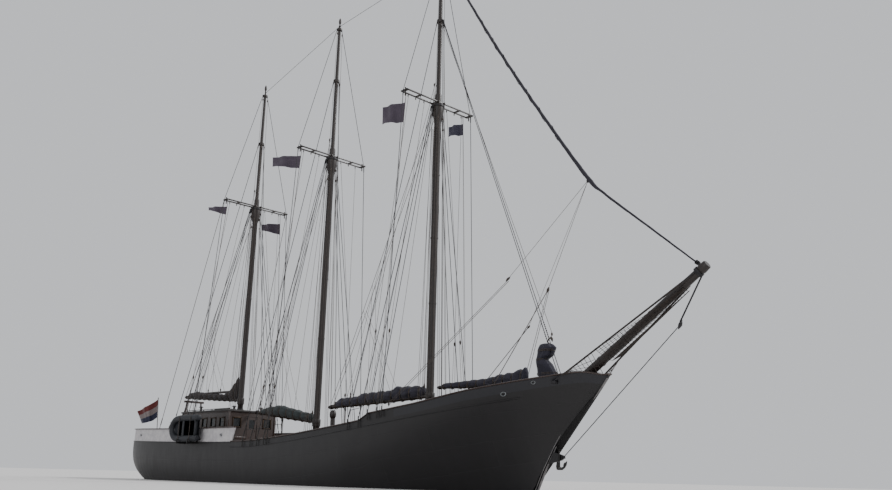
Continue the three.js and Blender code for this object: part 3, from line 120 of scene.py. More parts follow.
def add(tree: bpy.types.NodeTree, kind: str, inputs: dict[Any, Any] | None = None, **settings: Any) -> bpy.types.Node:
    """Adds a node with its settings, input values and links.

    Args:
        tree: the node tree that takes it.
        kind: the node's type name, without "ShaderNode".
        inputs: input name or index to a value, or to the output socket that feeds it.
        settings: the node's own settings.

    Returns:
        The new node.
    """
    node = tree.nodes.new("ShaderNode" + kind)
    for name, value in settings.items():
        setattr(node, name, value)
    for name, value in (inputs or {}).items():
        socket = node.inputs[name]
        if isinstance(value, bpy.types.NodeSocket):
            tree.links.new(value, socket)
        else:
            socket.default_value = value
    return node


class Axis(Enum):
    """The way that grain or planks run."""

    X = (0.06, 1.0, 1.0)
    Y = (1.0, 0.06, 1.0)
    Z = (1.0, 1.0, 0.06)


@dataclass(frozen=True)
class Finish:
    """A surface finish: its name, its shader values and the nodes of its pattern."""

    name: str
    colour: str = "808080"
    second: str = "808080"
    roughness: float = 0.5
    metallic: float = 0.0
    coat: float = 0.0
    sheen: float = 0.0
    bump_mm: float = 0.6

    def material(self) -> bpy.types.Material:
        """Makes the material, or gives the one made before."""
        made = bpy.data.materials.get(self.name)
        if made:
            return made
        made = bpy.data.materials.new(self.name)
        made.use_nodes = True
        made.diffuse_color = linear(self.colour)
        tree = made.node_tree
        shader = tree.nodes["Principled BSDF"]
        values = {"Metallic": self.metallic, "Roughness": self.roughness, "Coat Weight": self.coat}
        values |= {"Sheen Weight": self.sheen, "Base Color": linear(self.colour), "Coat Roughness": 0.12}
        for name, value in values.items():
            shader.inputs[name].default_value = value
        self.pattern(tree, shader)
        return made

    def pattern(self, tree: bpy.types.NodeTree, shader: bpy.types.Node) -> None:
        """Dresses the shader: cloudy colour and a fine bump, as on paint or cast metal."""
        place = add(tree, "TexCoord").outputs["Object"]
        clouds = add(tree, "TexNoise", {"Vector": place, "Scale": 7.0, "Detail": 6.0, "Roughness": 0.6})
        self.colour_by(tree, shader, clouds.outputs["Fac"])
        grit = add(tree, "TexNoise", {"Vector": place, "Scale": 90.0, "Detail": 3.0})
        self.bump_by(tree, shader, grit.outputs["Fac"])

    def colour_by(
        self, tree: bpy.types.NodeTree, shader: bpy.types.Node, share: bpy.types.NodeSocket
    ) -> bpy.types.NodeSocket:
        """Mixes the two colours by a share and gives them to the shader.

        Args:
            tree: the node tree.
            shader: the surface shader.
            share: the output that goes from the first colour to the second.

        Returns:
            The mixed colour's output.
        """
        ramp = add(tree, "ValToRGB", {"Fac": share})
        ramp.color_ramp.elements[0].position = 0.35
        ramp.color_ramp.elements[0].color = linear(self.colour)
        ramp.color_ramp.elements[1].position = 0.7
        ramp.color_ramp.elements[1].color = linear(self.second)
        tree.links.new(ramp.outputs["Color"], shader.inputs["Base Color"])
        return ramp.outputs["Color"]

    def bump_by(self, tree: bpy.types.NodeTree, shader: bpy.types.Node, height: bpy.types.NodeSocket) -> None:
        """Raises the surface by a height, in the finish's millimetres."""
        bump = add(tree, "Bump", {"Height": height, "Strength": 1.0, "Distance": self.bump_mm / 1000})
        tree.links.new(bump.outputs["Normal"], shader.inputs["Normal"])


@dataclass(frozen=True)
class PlatedEnamel(Finish):
    """Alkyd enamel on welded steel plates, by the hull's UV: metres along, and metres below the sheer."""

    plate: tuple[float, float] = (6.2, 1.15)
    strip: str = "19191f"
    strip_depth: float = 0.4
    strip_from: float = 10.5
    bottom: str = "4a1c17"
    bottom_below: float = -0.03

    def pattern(self, tree: bpy.types.NodeTree, shader: bpy.types.Node) -> None:
        """Draws plate seams, streaks, the slate strip at the bow and the red bottom paint."""
        uv = add(tree, "UVMap", uv_map="UVMap").outputs["UV"]
        place = add(tree, "TexCoord").outputs["Object"]
        size = {"Brick Width": self.plate[0], "Row Height": self.plate[1], "Mortar Size": 0.014, "Scale": 1.0}
        plates = add(tree, "TexBrick", {"Vector": uv, "Mortar Smooth": 0.6, **size}, offset=0.5)
        runs = add(tree, "Mapping", {"Vector": uv, "Scale": (1.6, 0.22, 1.0)})
        streaks = add(
            tree, "TexNoise", {"Vector": runs.outputs["Vector"], "Scale": 2.2, "Detail": 8.0, "Roughness": 0.62}
        )
        enamel = self.colour_by(tree, shader, streaks.outputs["Fac"])
        along = add(tree, "SeparateXYZ", {"Vector": uv})
        forward = add(tree, "Math", {0: along.outputs["X"], 1: self.strip_from}, operation="GREATER_THAN")
        upper = add(tree, "Math", {0: along.outputs["Y"], 1: self.strip_depth}, operation="LESS_THAN")
        strip = add(tree, "Math", {0: forward.outputs[0], 1: upper.outputs[0]}, operation="MULTIPLY")
        striped = {MIX_SHARE: strip.outputs[0], MIX_FIRST: enamel, MIX_SECOND: linear(self.strip)}
        top = add(tree, "Mix", striped, data_type="RGBA").outputs[MIX_RESULT]
        level = add(tree, "SeparateXYZ", {"Vector": place})
        under = add(tree, "Math", {0: level.outputs["Z"], 1: self.bottom_below}, operation="LESS_THAN")
        painted = {MIX_SHARE: under.outputs[0], MIX_FIRST: top, MIX_SECOND: linear(self.bottom)}
        whole = add(tree, "Mix", painted, data_type="RGBA")
        tree.links.new(whole.outputs[MIX_RESULT], shader.inputs["Base Color"])
        worn = add(
            tree, "MapRange",
            {"Value": streaks.outputs["Fac"], "To Min": self.roughness - 0.1, "To Max": self.roughness + 0.16}
        )
        tree.links.new(worn.outputs["Result"], shader.inputs["Roughness"])
        waves = add(tree, "TexNoise", {"Vector": place, "Scale": 0.9, "Detail": 2.0})
        seams = add(tree, "Bump", {"Height": plates.outputs["Fac"], "Strength": 0.6, "Distance": 0.004})
        seams.invert = True
        dents = add(
            tree, "Bump",
            {"Height": waves.outputs["Fac"], "Strength": 1.0, "Distance": 0.03, "Normal": seams.outputs["Normal"]}
        )
        tree.links.new(dents.outputs["Normal"], shader.inputs["Normal"])


@dataclass(frozen=True)
class Planks(Finish):
    """Planks or boards with dark seams, by object coordinates."""

    width: float = 0.065  # on the model: 130 mm on the ship
    length: float = 2.6
    seam: str = "16110d"
    upright: bool = False

    def pattern(self, tree: bpy.types.NodeTree, shader: bpy.types.Node) -> None:
        """Draws planks of slightly different browns, their grain and their seams."""
        place = add(tree, "TexCoord").outputs["Object"]
        parts = add(tree, "SeparateXYZ", {"Vector": place})
        order = ("Z", "X") if self.upright else ("X", "Y")
        flat = add(tree, "CombineXYZ", {"X": parts.outputs[order[0]], "Y": parts.outputs[order[1]]})
        size = {"Scale": 1.0, "Brick Width": self.length, "Row Height": self.width, "Mortar Size": 0.0035}
        colours = {"Color1": linear(self.colour), "Color2": linear(self.second), "Mortar": linear(self.seam)}
        laid = add(tree, "TexBrick", {"Vector": flat.outputs[0], "Bias": -0.1, **size, **colours}, offset=0.37)
        stretch = (1.0, 1.0, 0.05) if self.upright else (0.05, 1.0, 1.0)
        along = add(tree, "Mapping", {"Vector": place, "Scale": stretch})
        grain = add(tree, "TexNoise", {"Vector": along.outputs["Vector"], "Scale": 95.0, "Detail": 5.0})
        shade = add(tree, "MapRange", {"Value": grain.outputs["Fac"], "To Min": 0.78, "To Max": 1.2})
        tint = add(tree, "VectorMath", {0: laid.outputs["Color"]}, operation="SCALE")
        tree.links.new(shade.outputs["Result"], tint.inputs["Scale"])
        tree.links.new(tint.outputs["Vector"], shader.inputs["Base Color"])
        self.bump_by(tree, shader, laid.outputs["Fac"])
        for node in tree.nodes:
            if node.type == "BUMP":
                node.invert = True


@dataclass(frozen=True)
class Timber(Finish):
    """Painted or varnished wood, its grain stretched along one axis."""

    grain: Axis = Axis.Z
    scale: float = 60.0

    def pattern(self, tree: bpy.types.NodeTree, shader: bpy.types.Node) -> None:
        """Draws streaks along the grain and the bump of brushed coats."""
        place = add(tree, "TexCoord").outputs["Object"]
        along = add(tree, "Mapping", {"Vector": place, "Scale": self.grain.value})
        streaks = add(
            tree, "TexNoise", {"Vector": along.outputs["Vector"], "Scale": self.scale, "Detail": 6.0, "Distortion": 0.4}
        )
        self.colour_by(tree, shader, streaks.outputs["Fac"])
        self.bump_by(tree, shader, streaks.outputs["Fac"])


@dataclass(frozen=True)
class Cloth(Finish):
    """Woven cloth by the piece's UV, in metres: a plain weave and faded patches."""

    thread: float = 0.02  # coarser than the real 2 mm thread, so that the weave shows

    def pattern(self, tree: bpy.types.NodeTree, shader: bpy.types.Node) -> None:
        """Draws two crossed sets of threads over cloudy colour."""
        uv = add(tree, "UVMap", uv_map="UVMap").outputs["UV"]
        clouds = add(tree, "TexNoise", {"Vector": uv, "Scale": 1.7, "Detail": 7.0, "Roughness": 0.65})
        self.colour_by(tree, shader, clouds.outputs["Fac"])
        threads = {"Vector": uv, "Scale": 1 / self.thread / WAVE_TURN, "Distortion": 0.2}
        ways = [add(tree, "TexWave", threads, bands_direction=direction) for direction in ("X", "Y")]
        weave = add(tree, "Math", {0: ways[0].outputs["Fac"], 1: ways[1].outputs["Fac"]}, operation="MULTIPLY")
        self.bump_by(tree, shader, weave.outputs[0])


@dataclass(frozen=True)
class StripedCloth(Cloth):
    """A flag of three bands by its UV, whose second coordinate goes from 0 at the foot to 1 at the top."""

    # dark blue, grey and dark red from foot to top: the white middle band is painted grey and all three are darkened as
    # painted shade
    bands: tuple[str, str, str] = ("171b34", "6f6564", "531715")

    def colour_by(
        self, tree: bpy.types.NodeTree, shader: bpy.types.Node, share: bpy.types.NodeSocket
    ) -> bpy.types.NodeSocket:
        """Colours the cloth in three even bands."""
        uv = add(tree, "UVMap", uv_map="UVMap").outputs["UV"]
        height = add(tree, "SeparateXYZ", {"Vector": uv}).outputs["Y"]
        ramp = add(tree, "ValToRGB", {"Fac": height})
        ramp.color_ramp.interpolation = "CONSTANT"
        ramp.color_ramp.elements.new(0.333)
        for element, place, colour in zip(ramp.color_ramp.elements, (0.0, 0.333, 0.667), self.bands):
            element.position = place
            element.color = linear(colour)
        tree.links.new(ramp.outputs["Color"], shader.inputs["Base Color"])
        return ramp.outputs["Color"]


@dataclass(frozen=True)
class Rope(Finish):
    """Laid rope or wire, its strands drawn as slanting ridges."""

    strand: float = 0.03

    def pattern(self, tree: bpy.types.NodeTree, shader: bpy.types.Node) -> None:
        """Draws the strands' ridges and the tar's uneven colour."""
        place = add(tree, "TexCoord").outputs["Object"]
        clouds = add(tree, "TexNoise", {"Vector": place, "Scale": 14.0, "Detail": 4.0})
        self.colour_by(tree, shader, clouds.outputs["Fac"])
        slant = add(
            tree, "TexWave", {"Vector": place, "Scale": 1 / self.strand / WAVE_TURN}, bands_direction="DIAGONAL"
        )
        self.bump_by(tree, shader, slant.outputs["Fac"])


@dataclass(frozen=True)
class Pane(Finish):
    """Toughened window glass, dark from the room behind it."""

    def pattern(self, tree: bpy.types.NodeTree, shader: bpy.types.Node) -> None:
        """Lets light through the pane."""
        shader.inputs["Transmission Weight"].default_value = 0.7
        shader.inputs["IOR"].default_value = 1.5


class Stuff:
    """The ship's finishes, named for what each surface is made of."""

    # gloss black enamel, streaked by weather, with a violet-brown cast
    hull = PlatedEnamel("black_hull_enamel", "0a080a", "131013", 0.46, coat=0.05)
    # the same enamel on fittings and the rudder
    hull_plain = Finish("black_enamel_fittings", "0a080a", "131013", 0.48, coat=0.05, bump_mm=0.4)
    # off-white enamel, greyed as painted shade, a little chalky
    white = Finish("off_white_enamel", "a9a6a9", "c3c0c0", 0.5, bump_mm=0.5)
    # bare teak, silvered by weather
    deck = Planks("weathered_teak_deck", "5d4937", "78614b", 0.7, bump_mm=1.2)
    # varnished mahogany: deep brown under a clear coat
    rail = Timber("varnished_mahogany_rail", "20110c", "331c13", 0.45, coat=0.3, grain=Axis.X)
    # the same varnish on the house's upright boards
    house = Planks(
        "varnished_mahogany_boards", "22130e", "2e1b13", 0.45, coat=0.25, width=0.055, seam="0c0706", upright=True
    )
    # the same varnish on the door and the helm's pedestal
    door = Timber("varnished_mahogany_door", "20110c", "341e15", 0.45, coat=0.3, grain=Axis.Z)
    # spruce spars under brown paint, darkened to a very dark brown as painted shade
    spar = Timber("spruce_paint_darkened_as_painted_shade", "17100e", "271c17", 0.5, coat=0.1, grain=Axis.Z, scale=42.0)
    boom = Timber("boom_paint_darkened_as_painted_shade", "17100e", "271c17", 0.5, coat=0.1, grain=Axis.X, scale=42.0)
    # grey deck paint, matt and a little gritty underfoot
    roof = Finish("grey_deck_paint", "3a3838", "4a4746", 0.72, bump_mm=0.8)
    # cast iron under black paint: grainy, dull, worn a little bare
    iron = Finish("black_cast_iron", "131313", "24201f", 0.55, metallic=0.4, bump_mm=1.0)
    # hot-dip galvanised steel: pale grey, softly metallic
    steel = Finish("galvanised_steel", "6d7073", "8b8e90", 0.45, metallic=0.9, bump_mm=0.3)
    # stem plate with its enamel scuffed off by the chain: mottled grey steel
    stem = Finish("scuffed_stem_steel", "4c4a4d", "83807f", 0.5, metallic=0.35, bump_mm=0.8)
    # cast manganese bronze: brown-gold with a smooth machined shine
    bronze = Finish("manganese_bronze", "7d5b26", "a8813c", 0.3, metallic=1.0, bump_mm=0.4)
    # polished brass: yellow, with sharp highlights
    brass = Finish("polished_brass", "8f6d30", "b08c47", 0.28, metallic=1.0, bump_mm=0.2)
    # bronze browned by weather: nearly black, with dull highlights
    dark_bronze = Finish("browned_bronze", "2c2118", "3d2f22", 0.42, metallic=0.7, bump_mm=0.2)
    # galvanised wire rope under tar: black-grey with a faint metal gleam
    wire = Rope("tarred_wire_rope", "17161a", "2b292c", 0.5, metallic=0.3, bump_mm=0.5)
    # laid polyester rope gone brown: matt, with the strands' slanting ridges
    rope = Rope("dark_laid_rope", "2a2320", "4b4038", 0.8, sheen=0.2, bump_mm=1.2)
    # tarred netting twine: matt and brown-black
    net = Rope("tarred_netting", "1f1916", "3a312b", 0.85, bump_mm=0.8)
    # sailcloth and acrylic covers, matt with a slight sheen
    fore_sail = Cloth("slate_violet_sailcloth", "1c1b28", "2c2a38", 0.84, sheen=0.12, bump_mm=1.0)
    main_sail = Cloth("slate_green_sailcloth", "1f2728", "313a3b", 0.84, sheen=0.12, bump_mm=1.0)
    mizzen_sail = Cloth("brown_black_sailcloth", "181416", "282224", 0.84, sheen=0.12, bump_mm=1.0)
    # the furled jib's covering strip: dark violet-grey acrylic cloth
    jib = Cloth("dark_furled_jib", "171520", "27242f", 0.82, sheen=0.1, bump_mm=1.0)
    # coated boat fabric: close to rubber, softly shiny
    tube = Finish("coated_boat_fabric", "13151b", "1e2128", 0.6, bump_mm=0.4)
    # flag bunting: thin matt wool weave, greyed by the light behind it
    violet_flag = Cloth("violet_grey_bunting", "3f3743", "4e4551", 0.9, sheen=0.15, thread=0.012, bump_mm=0.4)
    blue_flag = Cloth("slate_blue_bunting", "383747", "454353", 0.9, sheen=0.15, thread=0.012, bump_mm=0.4)
    # the same bunting in three bands, their colours darkened as painted shade
    ensign = StripedCloth("striped_ensign_bunting", "7d1f1c", "7d1f1c", 0.9, sheen=0.3, thread=0.012, bump_mm=0.4)
    # toughened glass: smooth, dark from the room behind it
    glass = Pane("toughened_glass", "1c2327", "1c2327", 0.08)


# Shapes


class Shape:
    """One piece's mesh in the making, in metres of the real ship."""

    def __init__(self) -> None:
        """Starts an empty mesh with a UV map."""
        self.bm = bmesh.new()
        self.uv = self.bm.loops.layers.uv.new("UVMap")

    @staticmethod
    def aim(origin: Vector, direction: Vector) -> Matrix:
        """Gives the matrix that takes the z axis along a direction from an origin."""
        turn = direction.to_track_quat("Z", "Y").to_matrix().to_4x4()
        return Matrix.Translation(origin) @ turn

    def bar(self, start: Vector, end: Vector, radius: float, end_radius: float | None = None, sides: int = 8) -> None:
        """Adds a straight round bar or cone between two points."""
        along = end - start
        bmesh.ops.create_cone(
            self.bm,
            cap_ends=True,
            segments=sides,
            radius1=radius,
            radius2=radius if end_radius is None else end_radius,
            depth=along.length,
            matrix=self.aim((start + end) / 2, along),
        )

    def box(self, low: Point, high: Point, bevel: float = 0.0, turn: Matrix | None = None) -> None:
        """Adds a box between two corners, with rounded edges.

        Args:
            low: the lowest corner.
            high: the highest corner.
            bevel: the width of the rounding.
            turn: a rotation about the box's middle.
        """
        low, high = Vector(low), Vector(high)
        size = Matrix.Diagonal((*(high - low), 1))
        place = Matrix.Translation((low + high) / 2) @ (turn or Matrix.Identity(4)) @ size
        made = bmesh.ops.create_cube(self.bm, size=1.0, matrix=place)
        if bevel:
            edges = {edge for vert in made["verts"] for edge in vert.link_edges}
            self.round_edges(edges, bevel)

    def round_edges(self, edges: Iterable[bmesh.types.BMEdge], width: float, segments: int = 2) -> None:
        """Rounds edges by a width."""
        bmesh.ops.bevel(
            self.bm,
            geom=list(edges),
            offset=width,
            offset_type="OFFSET",
            segments=segments,
            profile=0.5,
            affect="EDGES",
            material=-1,
            clamp_overlap=True,
        )

    def lathe(self, profile: Sequence[tuple[float, float]], origin: Vector, axis: Vector, sides: int = 24) -> None:
        """Spins a profile of (radius, height) about an axis from an origin."""
        verts = [self.bm.verts.new((r, 0, h)) for r, h in profile]
        edges = [self.bm.edges.new(pair) for pair in zip(verts, verts[1:])]
        bmesh.ops.spin(
            self.bm, geom=verts + edges, cent=(0, 0, 0), axis=(0, 0, 1), angle=math.tau, steps=sides, use_merge=True,
            dvec=(0, 0, 0)
        )
        found = set(verts)
        queue = list(verts)
        while queue:
            for edge in queue.pop().link_edges:
                for vert in edge.verts:
                    if vert not in found:
                        found.add(vert)
                        queue.append(vert)
        turned = list(found)
        bmesh.ops.transform(self.bm, matrix=self.aim(origin, axis), verts=turned)
        bmesh.ops.remove_doubles(self.bm, verts=turned, dist=1e-5)

    def ball(self, centre: Vector, radii: Point, axis: Vector | None = None, sides: int = 12) -> None:
        """Adds a ball stretched to three radii, its z axis along a direction."""
        place = self.aim(centre, axis or UP) @ Matrix.Diagonal((*radii, 1))
        bmesh.ops.create_uvsphere(
            self.bm, u_segments=sides, v_segments=max(6, sides * 2 // 3), radius=1.0, matrix=place
        )

    def loft(
        self,
        rings: Sequence[Sequence[Vector]],
        closed: bool = True,
        capped: bool = True,
        looped: bool = False,
        uv: Callable[[int, int], tuple[float, float]] | None = None,
    ) -> list[bmesh.types.BMFace]:
        """Skins rings of the same number of points by extruding each into the next.

        Args:
            rings: the rings, in order.
            closed: whether each ring closes on itself.
            capped: whether the first and last ring are filled.
            looped: whether the last ring joins the first.
            uv: gives a map coordinate for a ring's and a point's number.

        Returns:
            The new faces of the skin.
        """
        bm, count = self.bm, len(rings[0])
        layer = [bm.verts.new(p) for p in rings[0]]
        spans = count if closed else count - 1
        edges = [bm.edges.new((layer[i], layer[(i + 1) % count])) for i in range(spans)]
        layers, faces = [layer], []
        for ring in rings[1:]:
            made = bmesh.ops.extrude_edge_only(bm, edges=edges)["geom"]
            fresh = {v for v in made if isinstance(v, bmesh.types.BMVert)}
            faces += [f for f in made if isinstance(f, bmesh.types.BMFace)]
            order = {old: i for i, old in enumerate(layer)}
            following: list[Any] = [None] * count
            for vert in fresh:
                for edge in vert.link_edges:
                    if edge.other_vert(vert) in order:
                        following[order[edge.other_vert(vert)]] = vert
            for vert, place in zip(following, ring):
                vert.co = place
            edges = [bm.edges.get((following[i], following[(i + 1) % count])) for i in range(spans)]
            layer = following
            layers.append(layer)
        if looped:
            first = [bm.edges.get((layers[0][i], layers[0][(i + 1) % count])) for i in range(spans)]
            faces += bmesh.ops.bridge_loops(bm, edges=first + edges)["faces"]
        elif capped and closed:
            for end in (layers[0], layers[-1]):
                bm.faces.new(end)
        if uv:
            self.map_loft(faces, layers, uv)
        return faces

    def map_loft(
        self, faces: list[Any], layers: list[list[Any]], uv: Callable[[int, int], tuple[float, float]]
    ) -> None:
        """Lays a lofted skin out flat by its rings, with the seam's faces kept in one piece."""
        count = len(layers[0])
        where = {vert: (i, j) for i, layer in enumerate(layers) for j, vert in enumerate(layer)}
        for face in faces:
            spots = [where[loop.vert] for loop in face.loops]
            across = max(j for _, j in spots) - min(j for _, j in spots) > 1
            for loop, (i, j) in zip(face.loops, spots):
                loop[self.uv].uv = uv(i, count if across and j == 0 else j)

    def tube(
        self, path: Sequence[Vector], radius: float | Sequence[float], sides: int = 6, looped: bool = False
    ) -> None:
        """Adds a round tube along points, open or joined end to end."""
        radii = [radius] * len(path) if isinstance(radius, (int, float)) else list(radius)
        rings, up, last = [], None, len(path) - 1
        for i, point in enumerate(path):
            before = path[i - 1] if looped or i else path[0]
            after = path[(i + 1) % len(path)] if looped or i < last else path[last]
            along = (after - before).normalized()
            if up is None:
                up = along.orthogonal().normalized()
            up = (up - along * up.dot(along)).normalized()
            side = along.cross(up)
            turns = [math.tau * j / sides for j in range(sides)]
            rings.append([point + (up * math.cos(a) + side * math.sin(a)) * radii[i] for a in turns])
        self.loft(rings, capped=not looped, looped=looped)

    def rope(self, start: Vector, end: Vector, radius: float = 0.013, sag: float = 0.0, sides: int = 5) -> None:
        """Adds a line between two points: straight, or with a sag in its middle."""
        if not sag:
            self.bar(start, end, radius, sides=sides)
            return
        path = [start.lerp(end, t / 12) - vec(0, 0, 4 * sag * (t / 12) * (1 - t / 12)) for t in range(13)]
        self.tube(path, radius, sides)

    def block(self, place: Vector, along: Vector, size: float = 0.13) -> None:
        """Adds a rope block: a shell, its strap and the ends of its sheave's pin."""
        way = along.normalized()
        across = way.orthogonal().normalized()
        self.ball(place, (size * 0.62, size * 0.42, size), way, 10)
        self.bar(place - across * size * 0.5, place + across * size * 0.5, size * 0.16, sides=8)
        for end in (-1, 1):
            self.ball(place + way * end * size * 1.05, (size * 0.2,) * 3, way, 8)

    def turnbuckle(self, start: Vector, way: Vector, length: float, radius: float = 0.03) -> None:
        """Adds a rigging screw: a body with two slimmer screws and their forks."""
        at = lambda share: start + way * length * share
        self.bar(at(0), at(0.25), radius * 0.55)
        self.bar(at(0.22), at(0.75), radius)
        self.bar(at(0.72), at(1), radius * 0.55)
        self.ball(at(0), (radius * 0.9,) * 3, way, 8)
        self.ball(at(1), (radius * 0.9,) * 3, way, 8)

    def coil(self, place: Vector, out: Vector, length: float = 0.42, turns: int = 4, radius: float = 0.02) -> None:
        """Adds a hanging coil of rope below a pin, flat against what lies behind it."""
        side = out.cross(UP).normalized()
        path = []
        for i in range(turns * 12 + 1):
            a = math.tau * i / 12
            wide = length * (0.3 + 0.015 * (i % 12))
            drift = out.normalized() * radius * 1.6 * i / 12
            path.append(place + side * wide * math.sin(a) + vec(0, 0, -length * (1 - math.cos(a)) / 2) + drift)
        self.tube(path, radius, 5)

    def done(
        self,
        name: str,
        finish: Finish | Sequence[Finish],
        slot: str,
        body: str = SHIP,
        replaces: Sequence[str] = (),
        sharp: float = 38.0,
        outward: bool = True,
    ) -> bpy.types.Object:
        """Finishes the piece: half size, shaded, dressed, and carried by its body.

        Args:
            name: the piece's name.
            finish: its finish, or several by material number.
            slot: the record's material slot; it is not used.
            body: the body that carries it, or nothing for a piece left without one.
            replaces: the CAD nodes that it stands for.
            sharp: the angle in degrees past which an edge stays sharp.
            outward: whether the faces are turned outwards.

        Returns:
            The finished object.
        """
        bm = self.bm
        if outward:
            bmesh.ops.recalc_face_normals(bm, faces=bm.faces)
        bmesh.ops.scale(bm, vec=(MODEL_SCALE,) * 3, verts=bm.verts)
        limit = math.radians(sharp)
        for edge in bm.edges:
            edge.smooth = len(edge.link_faces) != 2 or edge.calc_face_angle(0) < limit
        for face in bm.faces:
            face.smooth = True
        mesh = bpy.data.meshes.new(name)
        bm.to_mesh(mesh)
        bm.free()
        for each in finish if isinstance(finish, (list, tuple)) else [finish]:
            mesh.materials.append(each.material())
        piece = bpy.data.objects.new(name, mesh)
        bpy.context.scene.collection.objects.link(piece)
        if body:
            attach(piece, body)
        if replaces:
            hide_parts(*replaces)
        log.info("%s: %d faces", name, len(mesh.polygons))
        return piece


def dress(frame: dict[str, Any], node: str, finish: Finish, bevel_mm: float = 0.0) -> None:
    """Gives a CAD node its finish, and rounds its edges where that shows.

    Args:
        node: the node's name.
        finish: its finish.
        bevel_mm: the rounding's width on the model.
    """
    piece = frame["nodes"][node]
    if not piece.material_slots:
        piece.data.materials.append(None)
    for place in piece.material_slots:
        place.material = finish.material()
    if bevel_mm:
        weld = piece.modifiers.new("merge", "WELD")
        weld.merge_threshold = 0.00005
        bevel = piece.modifiers.new("rounding", "BEVEL")
        bevel.width = bevel_mm / 1000
        bevel.segments = 2
        bevel.limit_method = "ANGLE"
        bevel.angle_limit = math.radians(40)
        bevel.harden_normals = False


# Hull lines, the same formulas as the solids follow


@dataclass(frozen=True)
class HullLines:
    """The hull's form by x, and by s, the share of a waterline's length from stern to stem."""

    stern_x: float = -21.0
    stem_foot_x: float = 17.14
    bow_x: float = 21.3
    half_beam: float = 3.35
    stem_half: float = 0.09
    body_depth: float = 2.3
    sheer_low: float = 2.42
    sheer_low_x: float = -3.0
    rise_aft: float = 0.33
    rise_fore: float = 2.6
    rise_fore_x: float = 21.45
    plank: float = 0.06
    bulwark: float = 0.85
    break_x: float = -4.2
    stem: tuple[tuple[float, float], ...] = (
        (0, 0), (1, 0.05), (1.7, 0.17), (2.2, 0.25), (2.6, 0.38), (3, 0.57), (3.45, 0.82), (3.8, 1.07), (4.15, 1.36),
        (4.55, 1.62), (5.05, 1.81), (5.5, 1.9),
    )
    raises: tuple[tuple[float, float, float], ...] = ((7.9, 0.8, 0.27), (11.5, 4.0, 0.12))
    fall: tuple[float, float, float] = (20.2, 0.9, 0.22)

    def stem_x(self, z: float) -> float:
        """Gives the stem's x at a height."""
        rake = self.stem_foot_x + 0.45 * z
        if z <= 0:
            return rake - 0.55 * z * z
        for (low, near), (high, far) in zip(self.stem, self.stem[1:]):
            if z <= high:
                return rake + mix(near, far, (z - low) / (high - low))
        return rake + self.stem[-1][1]

    def stern_at(self, z: float) -> float:
        """Gives the stern's x at a height."""
        return self.stern_x + (0.38 * (1.6 - z) ** 2 if z < 1.6 else 0.0)

    def x_at(self, s: float, z: float) -> float:
        """Gives x at a share of the waterline at a height."""
        return mix(self.stern_at(z), self.stem_x(z), s)

    def share_at(self, x: float, z: float) -> float:
        """Gives the share of the waterline at a height where x lies."""
        return clamp((x - self.stern_at(z)) / (self.stem_x(z) - self.stern_at(z)))

    def deck_breadth(self, s: float) -> float:
        """Gives half the breadth at the sheer."""
        aft = (1 - clamp((0.25 - s) / 0.25) ** 3.4) ** 0.5
        fore = (1 - clamp((s - 0.6) / 0.4) ** 3) ** 0.75
        return max(self.stem_half, self.half_beam * aft * fore)

    def deck_line(self, x: float) -> float:
        """Gives the line that the decks follow."""
        aft = clamp((self.sheer_low_x - x) / (self.sheer_low_x - self.stern_x))
        fore = clamp((x - self.sheer_low_x) / (self.rise_fore_x - self.sheer_low_x))
        return self.sheer_low + self.rise_aft * aft**2 + self.rise_fore * fore**1.45 * (1.22 - 0.22 * fore)

    def sheer(self, x: float) -> float:
        """Gives the top of the black plating: the decks' line, with the fore bulwark raised over it."""
        up = 0.0
        for start, length, height in self.raises:
            t = clamp((x - start) / length)
            up += height * t * t * (3 - 2 * t)
        start, length, drop = self.fall
        return self.deck_line(x) + up - drop * clamp((x - start) / length) ** 1.5

    def quarter_rail(self, x: float) -> float:
        """Gives the top of the white bulwark."""
        return self.sheer(x) + self.plank + mix(0.74, 0.78, (x - self.stern_x) / (self.break_x - self.stern_x))

    def main_deck(self, x: float) -> float:
        """Gives the main deck's top."""
        return self.deck_line(x) - self.bulwark + self.plank

    def quarter_deck(self, x: float) -> float:
        """Gives the quarterdeck's top."""
        return self.sheer(x) + self.plank

    def level_at(self, level: Level, s: float) -> float:
        """Gives the height of a level at a share of the length."""
        z = level(mix(self.stern_x, self.bow_x, s))
        for _ in range(6):
            z = level(self.x_at(s, z))
        return z

    def bottom(self, s: float) -> float:
        """Gives the bottom of the body, without the keel."""
        return -self.body_depth + 1.8 * clamp((0.38 - s) / 0.38) ** 1.5 + 0.7 * clamp((s - 0.75) / 0.25) ** 2

    def breadth(self, s: float, z: float) -> float:
        """Gives half the breadth at a height: round bilges amidships, flared vees at the bow."""
        t = clamp((z - self.bottom(s)) / (self.level_at(self.sheer, s) - self.bottom(s)))
        sharp = clamp((s - 0.6) / 0.4)
        sharp = sharp * sharp * (3 - 2 * sharp)
        fullness = mix(mix(3, 2.3, clamp((0.25 - s) / 0.25)), 1, sharp)
        return max(self.stem_half, self.deck_breadth(s) * (1 - (1 - t) ** fullness) ** mix(0.5, 1.1, sharp))

    def rim(self, s: float, z: float, out: float) -> Vector:
        """Gives a point on the port side, moved out along the waterline's normal."""
        step = 0.0015
        at = lambda u: Vector((self.x_at(u, z), self.breadth(u, z)))
        along = (at(min(s + step, 1)) - at(max(s - step, 0))).normalized()
        point = at(s)
        return vec(point.x - along.y * out, max(point.y + along.x * out, 0.012), z)

    def side(self, x: float, z: float) -> float:
        """Gives half the breadth at a place."""
        return self.breadth(self.share_at(x, z), z)


LINES = HullLines()
BREAK_SHARE = LINES.share_at(LINES.break_x, LINES.sheer_low)


def shares(start: float, end: float, count: int) -> list[float]:
    """Gives shares of the length between two stations, closer together at the ship's ends."""
    phase = lambda s: math.acos(1 - 2 * s) / math.pi
    return [(1 - math.cos(math.pi * mix(phase(start), phase(end), i / count))) / 2 for i in range(count + 1)]


